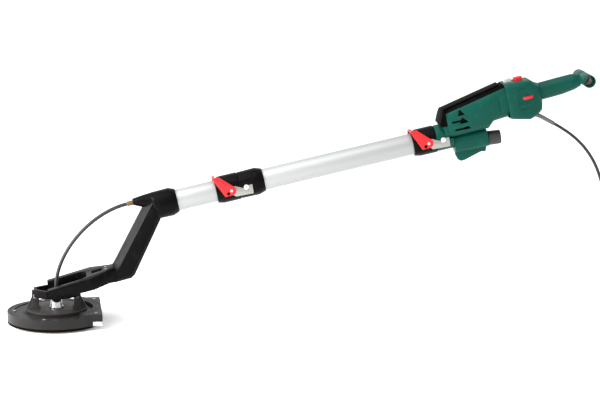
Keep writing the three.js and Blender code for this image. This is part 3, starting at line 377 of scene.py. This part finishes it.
COPPER = windings("wound_copper", "winding_copper")
STACK = laminated("stator_stack", "stator_steel")
BOARD = printed_board("speed_board", "board")


# ---------------------------------------------------------------- making pieces


def made(name, mesh):
    """A new object at the origin that holds a mesh."""
    piece = bpy.data.objects.new(name, mesh)
    bpy.context.scene.collection.objects.link(piece)
    return piece


def settled(piece):
    """Turns a piece's modifiers into its plain mesh."""
    evaluated = piece.evaluated_get(bpy.context.evaluated_depsgraph_get())
    mesh = bpy.data.meshes.new_from_object(evaluated)
    piece.modifiers.clear()
    old = piece.data
    piece.data = mesh
    bpy.data.meshes.remove(old)
    return piece


def smoothed(piece, angle=35):
    """Shades a piece smooth, except over edges sharper than the angle."""
    piece.data.polygons.foreach_set("use_smooth", [True] * len(piece.data.polygons))
    piece.data.set_sharp_from_angle(angle=math.radians(angle))


def dressed(piece, finish, body, *nodes):
    """Gives a piece its finish, its body and the CAD nodes that it stands for."""
    piece.data.materials.clear()
    piece.data.materials.append(finish.material)
    if nodes:
        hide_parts(*nodes)
    if body:
        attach(piece, body)
    return piece


def body_of(node):
    return frame["nodes"][node]["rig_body"]


def merged_copy(node):
    """A CAD node's mesh with its corners merged and its flat faces whole."""
    mesh = frame["nodes"][node].data.copy()
    if "custom_normal" in mesh.attributes:
        mesh.attributes.remove(mesh.attributes["custom_normal"])
    shape = bmesh.new()
    shape.from_mesh(mesh)
    bmesh.ops.remove_doubles(shape, verts=shape.verts, dist=2e-5)
    bmesh.ops.dissolve_limit(shape, angle_limit=math.radians(0.6), verts=shape.verts, edges=shape.edges)
    shape.to_mesh(mesh)
    shape.free()
    return mesh


def rounded(piece, width, segments=2, angle=32):
    """Adds a bevel, in millimetres, to a piece's sharp edges."""
    bevel = piece.modifiers.new("rounded", "BEVEL")
    bevel.width = width * MM
    bevel.segments = segments
    bevel.limit_method = "ANGLE"
    bevel.angle_limit = math.radians(angle)
    bevel.use_clamp_overlap = True


def carved(piece, cutters):
    """Cuts shapes out of a piece and removes them."""
    for cutter in cutters:
        carve = piece.modifiers.new("carve", "BOOLEAN")
        carve.operation = "DIFFERENCE"
        carve.solver = "EXACT"
        carve.object = cutter
    settled(piece)
    for cutter in cutters:
        bpy.data.objects.remove(cutter)


def finished(node, finish, width=0.8, angle=35, cutters=()):
    """The smooth, round-edged form of a CAD node, which it replaces."""
    piece = made(f"{node}_skin", merged_copy(node))
    if cutters:
        carved(piece, cutters)
    if width:
        rounded(piece, width)
        settled(piece)
    smoothed(piece, angle)
    return dressed(piece, finish, body_of(node), node)


def two_tone(piece, finish, point, normal):
    """Gives a second finish to the faces beyond a plane, in millimetres in the motor unit's frame."""
    level = MOTOR @ (Vector(point) * MM)
    way = (MOTOR.to_3x3() @ Vector(normal)).normalized()
    shape = bmesh.new()
    shape.from_mesh(piece.data)
    everything = shape.verts[:] + shape.edges[:] + shape.faces[:]
    bmesh.ops.bisect_plane(shape, geom=everything, plane_co=level, plane_no=way)
    piece.data.materials.append(finish.material)
    for face in shape.faces:
        if (face.calc_center_median() - level).dot(way) > 0:
            face.material_index = 1
    shape.to_mesh(piece.data)
    shape.free()


def kept(node, finish):
    """A CAD node that is shown as it is, in its finish."""
    piece = frame["nodes"][node]
    for place in piece.material_slots:
        place.material = finish.material


def solid(name, place, build):
    """A mesh built by a function in millimetres, in the frame that the matrix gives."""
    shape = bmesh.new()
    build(shape)
    bmesh.ops.scale(shape, vec=(MM, MM, MM), verts=shape.verts)
    shape.transform(place)
    bmesh.ops.recalc_face_normals(shape, faces=shape.faces)
    mesh = bpy.data.meshes.new(name)
    shape.to_mesh(mesh)
    shape.free()
    return made(name, mesh)


def prism(outline, low, high):
    """Builds an outline in X and Z, with thickness along Y."""

    def build(shape):
        near = [shape.verts.new((x, low, z)) for x, z in outline]
        far = [shape.verts.new((x, high, z)) for x, z in outline]
        count = len(outline)
        shape.faces.new(near)
        shape.faces.new(far[::-1])
        for i in range(count):
            j = (i + 1) % count
            shape.faces.new((near[i], near[j], far[j], far[i]))

    return build


def block(x0, x1, y0, y1, z0, z1):
    """Builds a box between two corners."""
    return prism([(x0, z0), (x1, z0), (x1, z1), (x0, z1)], y0, y1)


def ring(outer, inner, low, high, sides=96):
    """Builds a flat ring about Z."""

    def build(shape):
        profile = [(outer, low), (outer, high), (inner, high), (inner, low)]
        loops = []
        for k in range(sides):
            turn = TURN * k / sides
            loops.append([shape.verts.new((r * math.cos(turn), r * math.sin(turn), z)) for r, z in profile])
        for a, b in zip(loops, loops[1:] + loops[:1]):
            for i in range(4):
                j = (i + 1) % 4
                shape.faces.new((a[i], a[j], b[j], b[i]))

    return build


def skinned(name, centres, radii, sides, place=ROW):
    """A closed tube of changing radius along a line of points, in millimetres."""

    def build(shape):
        line = [Vector(c) for c in centres]
        loops = []
        up = Vector((0, 1, 0))
        for i, (centre, radius) in enumerate(zip(line, radii)):
            way = (line[min(i + 1, len(line) - 1)] - line[max(i - 1, 0)]).normalized()
            side = up.cross(way).normalized()
            top = way.cross(side)
            loops.append([
                shape.verts.new(centre + radius * (math.cos(a) * side + math.sin(a) * top))
                for a in (TURN * k / sides for k in range(sides))
            ])
        for a, b in zip(loops, loops[1:]):
            for k in range(sides):
                j = (k + 1) % sides
                shape.faces.new((a[k], a[j], b[j], b[k]))
        shape.faces.new(loops[0][::-1])
        shape.faces.new(loops[-1])

    return solid(name, place, build)


def through(points, steps):
    """Points along a smooth centripetal curve through the ones given."""
    path = [Vector(p) for p in points]
    path = [2 * path[0] - path[1], *path, 2 * path[-1] - path[-2]]
    found = []
    for p0, p1, p2, p3 in zip(path, path[1:], path[2:], path[3:]):
        t0 = 0.0
        t1 = t0 + (p1 - p0).length ** 0.5
        t2 = t1 + (p2 - p1).length ** 0.5
        t3 = t2 + (p3 - p2).length ** 0.5
        for k in range(steps):
            t = t1 + (t2 - t1) * k / steps
            a1 = p0.lerp(p1, (t - t0) / (t1 - t0))
            a2 = p1.lerp(p2, (t - t1) / (t2 - t1))
            a3 = p2.lerp(p3, (t - t2) / (t3 - t2))
            b1 = a1.lerp(a2, (t - t0) / (t2 - t0))
            b2 = a2.lerp(a3, (t - t1) / (t3 - t1))
            found.append(b1.lerp(b2, (t - t1) / (t2 - t1)))
    found.append(path[-2])
    return found


# ---------------------------------------------------------------- camera

TARGET = Vector((0.6245, 0, 0.303))
AZIMUTH = math.radians(-7)
ELEVATION = math.radians(10.8)
DISTANCE = 6.0


def place_camera():
    """A long lens, square to the pole's side and a little above it."""
    lens = bpy.data.cameras.new("camera")
    lens.lens = 140.8
    lens.sensor_width = 36
    lens.clip_end = 200
    camera = bpy.data.objects.new("camera", lens)
    bpy.context.scene.collection.objects.link(camera)
    away = Vector((
        math.sin(AZIMUTH) * math.cos(ELEVATION),
        -math.cos(AZIMUTH) * math.cos(ELEVATION),
        math.sin(ELEVATION),
    ))
    camera.location = TARGET + DISTANCE * away
    camera.rotation_euler = (-away).to_track_quat("-Z", "Y").to_euler()
    bpy.context.scene.camera = camera


place_camera()

# ---------------------------------------------------------------- mains cord

# each ring of the coil: when it is reached, in turns from the start, its radius and its layer
COIL_RINGS = [
    (0.0, 48, 3), (0.8, 40, 3), (1.8, 32, 3), (2.5, 32, 2), (3.2, 40, 2), (4.2, 48, 2), (4.9, 48, 1),
    (5.6, 40, 1), (6.6, 32, 1), (7.3, 32, 0), (8.0, 40, 0), (9.0, 48, 0),
]
COIL_TURNS = 9.25
COIL_SHIFT = 0.3  # of a turn, to move over to the next ring


def coil_points(per_turn=28):
    """The coil's turns: rings that pass smoothly from one radius and layer to the next."""
    points = []
    total = int(COIL_TURNS * per_turn)
    for k in range(1, total + 1):
        turns = COIL_TURNS * k / total
        radius, layer = COIL_RINGS[0][1:]
        for start, next_radius, next_layer in COIL_RINGS[1:]:
            t = min(1.0, max(0.0, (turns - start) / COIL_SHIFT + 0.5))
            t = t * t * (3 - 2 * t)
            radius += (next_radius - radius) * t
            layer += (next_layer - layer) * t
        angle = TURN * (turns - 0.25)
        height = COIL_BASE + CORD_RADIUS * (1 + 2 * layer)
        points.append((
            COIL_CENTRE[0] + radius * math.cos(angle),
            COIL_CENTRE[1] + radius * math.sin(angle),
            height,
        ))
    return points


def lay_cord():
    """The mains cord as one curve: its run, its coil and its tail, with its length and its exit."""
    lead_in = [(1505, 0, 30.4)]
    tail = [(1568, 91, 7.5), (1568, 102, 13), (1568, 111, PLUG_RADIUS), (1568, 120, PLUG_RADIUS)]
    run = through(CORD_ROUTE + lead_in + [(1520, 0, 29.5)], 4)
    end = through([(1568, 48 + 16, 5.5), (1568, 78, 5.5), *tail], 3)
    points = [Vector(p) for p in run] + [Vector(p) for p in coil_points()] + end[1:]
    curve = bpy.data.curves.new("mains_cord", "CURVE")
    curve.dimensions = "3D"
    curve.bevel_depth = CORD_RADIUS * MM
    curve.bevel_resolution = 3
    curve.use_fill_caps = True
    spline = curve.splines.new("POLY")
    spline.points.add(len(points) - 1)
    for place, point in zip(spline.points, points):
        place.co = (*(point * MM), 1)
    spline.use_smooth = True
    curve.materials.append(CORD.material)
    cord = bpy.data.objects.new("mains_cord", curve)
    bpy.context.scene.collection.objects.link(cord)
    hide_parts("cord_run", "cord_coil", "cord_tail")
    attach(cord, "motor_unit")
    length = sum((b - a).length for a, b in zip(points, points[1:])) * MM
    return cord, length, points[0] * MM


def finish_plug():
    """The plug has steel pins in a black body."""
    plug = finished("mains_plug", PLUG, 0.8)
    plug.data.materials.append(STEEL.material)
    for face in plug.data.polygons:
        if face.center.y > PIN_START:
            face.material_index = 1
    return plug


plug = finish_plug()
tie = finished("cord_tie", PLUG, 0.4)
mains_cord, cord_length, cord_exit = lay_cord()


# ---------------------------------------------------------------- things that repeat


class Grower(Nodes):
    """A Geometry Nodes tree with named inputs, used once on a set of points and then settled."""

    def __init__(self, name, **sizes):
        super().__init__(bpy.data.node_groups.new(name, "GeometryNodeTree"))
        side = self.tree.interface
        side.new_socket("Geometry", in_out="OUTPUT", socket_type="NodeSocketGeometry")
        side.new_socket("Geometry", in_out="INPUT", socket_type="NodeSocketGeometry")
        self.identifiers = {}
        for label, value in sizes.items():
            kind = "NodeSocketVector" if isinstance(value, tuple) else "NodeSocketFloat"
            if isinstance(value, int):
                kind = "NodeSocketInt"
            made_socket = side.new_socket(label.replace("_", " "), in_out="INPUT", socket_type=kind)
            made_socket.default_value = value
            self.identifiers[label] = made_socket.identifier
        finish = side.new_socket("Finish", in_out="INPUT", socket_type="NodeSocketMaterial")
        self.identifiers["Finish"] = finish.identifier
        self.inputs = self.tree.nodes.new("NodeGroupInput")

    def given(self, label):
        return Socket(self, self.inputs.outputs[label.replace("_", " ")])

    def close(self, geometry):
        real = self.node("GeometryNodeRealizeInstances", sockets={0: geometry})
        surfaced = self.node("GeometryNodeSetMaterial", sockets={
            "Geometry": real, "Material": self.given("Finish")})
        self.node("NodeGroupOutput", sockets={0: surfaced})
        return self

    def grow(self, name, points, finish, body, replaces=(), angle=35, **sizes):
        """Runs the tree on points in metres; the result is one plain piece on a body."""
        mesh = bpy.data.meshes.new(name)
        mesh.from_pydata([tuple(p) for p in points[0]], points[1], [])
        piece = made(name, mesh)
        modifier = piece.modifiers.new("grow", "NODES")
        modifier.node_group = self.tree
        for label, value in {**sizes, "Finish": finish.material}.items():
            modifier[self.identifiers[label]] = value
        settled(piece)
        smoothed(piece, angle)
        return dressed(piece, finish, body, *replaces)


def screw_grower():
    """Screw heads with a socket, one on each point, all facing one way."""
    tree = Grower("screw_heads", Radius=0.003, Height=0.0015, Socket_Depth=0.001, Facing=(0.0, 0.0, 0.0))
    head = tree.node("GeometryNodeMeshCylinder", {"fill_type": "NGON"},
                     {"Vertices": 18, "Radius": tree.given("Radius"), "Depth": tree.given("Height")})
    top = head.output.node.outputs["Top"]
    rim = tree.node("GeometryNodeExtrudeMesh", {"mode": "FACES"}, {
        "Mesh": head, "Selection": Socket(tree, top), "Offset Scale": tree.given("Radius") * 0.16})
    crown = Socket(tree, rim.output.node.outputs["Top"])
    dome = tree.node("GeometryNodeScaleElements", {"domain": "FACE"},
                     {"Geometry": rim, "Selection": crown, "Scale": 0.74})
    lip = tree.node("GeometryNodeExtrudeMesh", {"mode": "FACES"},
                    {"Mesh": dome, "Selection": crown, "Offset Scale": 0.0})
    mouth = Socket(tree, lip.output.node.outputs["Top"])
    narrow = tree.node("GeometryNodeScaleElements", {"domain": "FACE"},
                       {"Geometry": lip, "Selection": mouth, "Scale": 0.58})
    socket = tree.node("GeometryNodeExtrudeMesh", {"mode": "FACES"},
                       {"Mesh": narrow, "Selection": mouth, "Offset Scale": 0 - tree.given("Socket_Depth")})
    placed = tree.node("GeometryNodeInstanceOnPoints", sockets={
        "Points": tree.given("Geometry"), "Instance": socket, "Rotation": tree.given("Facing")})
    return tree.close(placed)


def bristle_grower():
    """Tufts of bristle hanging from points, each leaning and cut a little differently."""
    tree = Grower("bristle_tufts", Length=0.01, Radius=0.0012, Lean=0.12, Seed=4)
    tuft = tree.node("GeometryNodeMeshCone", {"fill_type": "NGON"}, {
        "Vertices": 5, "Radius Top": tree.given("Radius") * 0.75, "Radius Bottom": tree.given("Radius"),
        "Depth": tree.given("Length")})
    lean = tree.given("Lean")
    reach = tree.node("ShaderNodeCombineXYZ", sockets={0: lean, 1: lean, 2: 3.1})
    back = tree.node("ShaderNodeCombineXYZ", sockets={0: 0 - lean, 1: 0 - lean, 2: -3.1})
    turn = tree.node("FunctionNodeRandomValue", {"data_type": "FLOAT_VECTOR"},
                     {0: back, 1: reach, "Seed": tree.given("Seed")})
    size = tree.node("FunctionNodeRandomValue", {"data_type": "FLOAT_VECTOR"},
                     {0: (0.85, 0.85, 0.93), 1: (1.25, 1.25, 1.0), "Seed": tree.given("Seed")})
    placed = tree.node("GeometryNodeInstanceOnPoints", sockets={
        "Points": tree.given("Geometry"), "Instance": tuft, "Rotation": turn, "Scale": size})
    return tree.close(placed)


SCREWS = screw_grower()
BRISTLES = bristle_grower()


def spots(place, *points):
    """Loose points in millimetres, in the frame that the matrix gives."""
    return [place @ (Vector(p) * MM) for p in points], []


def facing(place, axis):
    """The turn, as Euler angles, that points +Z along an axis of the frame."""
    way = place.to_3x3() @ Vector(axis)
    return tuple(way.to_track_quat("Z", "Y").to_euler())


def add_screws(name, place, points, axis, radius, body, height=1.4, finish=STEEL):
    return SCREWS.grow(name, spots(place, *points), finish, body, Radius=radius * MM, Height=height * MM,
                       Socket_Depth=0.5 * height * MM, Facing=facing(place, axis))


# ---------------------------------------------------------------- head


def finish_head():
    """The shroud with its grooves and screws, the gimbal, the pad and the disc."""
    grooves = [solid("groove", ROW, ring(*groove)) for groove in SHROUD_GROOVES]
    finished("shroud", SHROUD, 1.4, cutters=grooves)
    finished("head_carrier", CARRIER, 0.8)
    finished("spindle_housing", STEEL, 0.5, 20)
    finished("gimbal_ring", BLACK, 1.2)
    finished("edge_segment", SHROUD, 0.6)
    kept("backing_pad", PAD)
    kept("abrasive_disc", PAPER)
    kept("pad_spindle", STEEL)
    add_screws("rim_screws", ROW, RIM_SCREWS, (0, 0, 1), 4.2, "head", 1.8)
    add_screws("edge_screws", ROW, EDGE_SCREWS, (0, 0, 1), 4.2, "head", 1.6)


def brush_points():
    """Where the round brush's tufts hang, beside the straight edge's pocket."""
    points = []
    for radius in BRUSH_ROWS:
        count = int(TURN * radius / BRUSH_STEP)
        for k in range(count):
            turn = TURN * k / count
            x, y = radius * math.cos(turn), radius * math.sin(turn)
            if x < BRUSH_END:
                points.append((x, y, 5.15))
    return points


def grow_brushes():
    """The round brush, and the straight edge's two blocks and the strip between them."""
    BRISTLES.grow("brush_ring_bristles", spots(ROW, *brush_points()), BRISTLE, "head", ["brush_ring"],
                  Length=10.2 * MM, Radius=1.3 * MM, Lean=0.03, Seed=7)
    first_x, first_y = EDGE_BLOCK_CORNER
    blocks = []
    for side in (-1, 1):
        for x in range(11):
            for y in range(15):
                px, py = first_x + EDGE_STEP * x, side * (first_y + 2.05 * y)
                if math.hypot(px, py) > 116.5:
                    blocks.append((px, py, 10.9))
    strip = [(x, EDGE_STEP * k, 18.1) for x in EDGE_STRIP_ROWS for k in range(-31, 32)]
    BRISTLES.grow("edge_brush_bristles", spots(ROW, *blocks), PALE_BRISTLE, "edge", ["edge_brush"],
                  Length=21.2 * MM, Radius=1.3 * MM, Lean=0.02, Seed=11)
    BRISTLES.grow("edge_brush_strip", spots(ROW, *strip), PALE_BRISTLE, "edge",
                  Length=7.2 * MM, Radius=1.2 * MM, Lean=0.02, Seed=12)


finish_head()
grow_brushes()

# ---------------------------------------------------------------- arm and flexible shaft


def casing_line():
    """Points on one smooth curve from the arm's ferrule to the gimbal, in millimetres."""
    start = POLE @ Vector(CASING_TOP)
    aim = POLE.to_3x3() @ Vector((1, 0, 0))
    end = Vector(CASING_FOOT)
    handles = [start, start - CASING_REACH * aim, end + Vector((0, 0, CASING_REACH)), end]
    points = []
    for k in range(61):
        t = k / 60
        weights = ((1 - t) ** 3, 3 * t * (1 - t) ** 2, 3 * t * t * (1 - t), t ** 3)
        points.append(sum((w * h for w, h in zip(weights, handles)), Vector()) / MM)
    return points


def bent(piece):
    """Takes the casing off any body and bakes its place into its mesh."""
    piece.parent = None
    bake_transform(piece)


def finish_arm():
    """The fork and the arm, and the casing that bends between arm and gimbal."""
    finished("fork", BLACK, 1.4)
    finished("head_arm", BLACK, 1.2)
    finished("flex_ferrule", BRASS, 0.5)
    line = casing_line()
    casing = skinned("flex_casing_skin", line, [CASING_RADIUS] * len(line), 20)
    smoothed(casing)
    dressed(casing, CASING, None, "flex_casing")
    bent(casing)
    add_screws("fork_screw", FORK, FORK_SCREWS, (0, 0, 1), 3.4, "arm")
    for side, label in ((-1, "left"), (1, "right")):
        add_screws(f"gimbal_bolt_{label}", FORK, [(0, side * 67.2, 0)], (0, side, 0), 5.4, "arm", 2, BLACK)


finish_arm()

# ---------------------------------------------------------------- pole and couplings


def finish_tubes():
    """The two tubes and the drive rods inside them."""
    for node in ("lower_tube", "extension_tube"):
        finished(node, ALUMINIUM, 0.2, 40)
    kept("lower_drive_rod", STEEL)
    kept("upper_drive_rod", STEEL)


def finish_coupling(name, socket_body):
    """A sleeve with its lever and hooks, and the studs that they draw on."""
    place = POLE @ Matrix.Translation((COUPLING_STARTS[name] * MM, 0, 0))
    finished(f"{name}_sleeve", BLACK, 0.7)
    finished(f"{name}_latch", RED, 0.6)
    for side, label in ((-1, "left"), (1, "right")):
        finished(f"{name}_hook_{label}", ZINC, 0.3)
        along, up = LEVER_PIN_PLACE
        add_screws(f"{name}_lever_pin_{label}", place, [(along, side * 37.0, up)], (0, side, 0), 3.6,
                   f"{name}_hooks", 1.0)
        owner = "socket" if socket_body == "motor_unit" else "extension"
        finished(f"{owner}_stud_{label}", WHITE, 0.5)
        along, up = STUD_PLACE
        add_screws(f"{name}_stud_screw_{label}", place, [(along, side * 36.7, up)], (0, side, 0), 3.2,
                   socket_body, 0.7)


finish_tubes()
finish_coupling("lower", "extension")
finish_coupling("upper", "motor_unit")
finished("extension_socket", BLACK, 0.7)

# ---------------------------------------------------------------- motor unit


def finish_motor():
    """The shells, green below a black strip, a black sheet of painted shade behind their vents, and what
    they hold.
    """
    for label, side in (("left", -1), ("right", 1)):
        near, far = sorted((side * SHELL_SIDE, side * PAST_SIDE))
        seam = solid("seam", MOTOR, block(*SHELL_SEAM, near, far, 14, 82))
        shell = finished(f"motor_shell_{label}", GREEN, 1.0, 40, [seam])
        two_tone(shell, MATT_BLACK, STRIP_POINT, STRIP_NORMAL)
        # a thin black sheet inside each shell, just behind the vents: painted shade that makes the vents
        # look dark
        inside = sorted((side * 29, side * 30))
        shade_sheet = solid(f"vent_shade_sheet_{label}", MOTOR, block(45, 79, *inside, 8, 60))
        dressed(shade_sheet, BLACK, "motor_unit")
    nose = finished("nose_cap", MATT_BLACK, 1.0)
    two_tone(nose, GREEN, (0, 0, NOSE_SPLIT), (0, 0, -1))
    finished("tube_socket", GREEN, 0.6)
    finished("dust_duct", GREEN, 1.2)
    finished("dust_nozzle", NOZZLE, 0.5)
    for node in ("front_bearing", "rear_bearing", "output_bearing", "output_gear", "drive_pinion"):
        kept(node, STEEL)
    kept("stator", STACK)
    kept("armature", COPPER)
    kept("cooling_fan", BLACK)
    kept("speed_board", BOARD)


def finish_controls():
    """The control housing with its recessed panel, its buttons and its wheel."""
    cutters = []
    for side in (-1, 1):
        near, far = sorted((side * CONTROL_SIDE, side * PAST_SIDE))
        cutters.append(solid("panel", MOTOR, prism(CONTROL_PANEL, near, far)))
        for z in CONTROL_LINES:
            line = [(226, z), (268, z - 1), (268, z + 1.6), (226, z + 2.6)]
            cutters.append(solid("line", MOTOR, prism(line, near, far)))
    finished("control_housing", GREEN, 1.0, 40, cutters)
    finished("start_button", GREY, 0.8)
    finished("stop_button", RED, 0.8)
    finished("speed_wheel", RED, 0.4)


def finish_handle():
    """The two halves of the T handle."""
    for label in ("left", "right"):
        finished(f"handle_shell_{label}", GREEN, 1.0, 40)


def finish_boot():
    """The strain relief tapers towards the cord."""
    line = through(BOOT_PATH, 6)
    count = len(line) - 1
    first, last = BOOT_RADII
    radii = [first + (last - first) * i / count for i in range(count + 1)]
    boot = skinned("cord_boot_skin", line, radii, 20)
    smoothed(boot)
    dressed(boot, BOOT, "motor_unit", "cord_boot")


finish_motor()
finish_controls()
finish_handle()
finish_boot()

# ---------------------------------------------------------------- floor and light


def lay_floor():
    """A pale floor under the object."""
    floor = solid("floor", ROW, block(-40000, 40000, -40000, 40000, -2, -0.2))
    finish = Finish("floor", None, Specular_IOR_Level=0.2, Emission_Strength=0.14)
    soft = finish.noise(0.8, 2)
    finish.wire(Base_Color=finish.mix(soft, (0.95, 0.95, 0.95), (0.97, 0.97, 0.97)))
    finish.wire(Roughness=0.85 + soft * 0.1)
    floor.data.materials.append(finish.material)


def add_light(name, place, target, size, power):
    lamp = bpy.data.lights.new(name, "AREA")
    lamp.shape = "RECTANGLE"
    lamp.size, lamp.size_y = size
    lamp.energy = power
    light = bpy.data.objects.new(name, lamp)
    bpy.context.scene.collection.objects.link(light)
    light.location = place
    light.rotation_euler = (Vector(target) - Vector(place)).to_track_quat("-Z", "Y").to_euler()


def light_studio():
    """Even white surroundings, a soft light from above and a lamp at the left."""
    world = bpy.data.worlds.new("studio")
    world.use_nodes = True
    world.node_tree.nodes["Background"].inputs["Color"].default_value = (1, 1, 1, 1)
    world.node_tree.nodes["Background"].inputs["Strength"].default_value = 0.9
    bpy.context.scene.world = world
    sun = bpy.data.lights.new("daylight", "SUN")
    sun.energy = 1.5
    sun.angle = math.radians(60)
    daylight = bpy.data.objects.new("daylight", sun)
    bpy.context.scene.collection.objects.link(daylight)
    daylight.rotation_euler = (math.radians(18), math.radians(-24), 0)
    add_light("left", (-1.7, -0.45, 0.95), (0.17, 0, 0.2), (1.1, 1.0), 85)
    bpy.context.scene.view_settings.view_transform = "Standard"
    bpy.context.scene.view_settings.look = "None"


lay_floor()
light_studio()
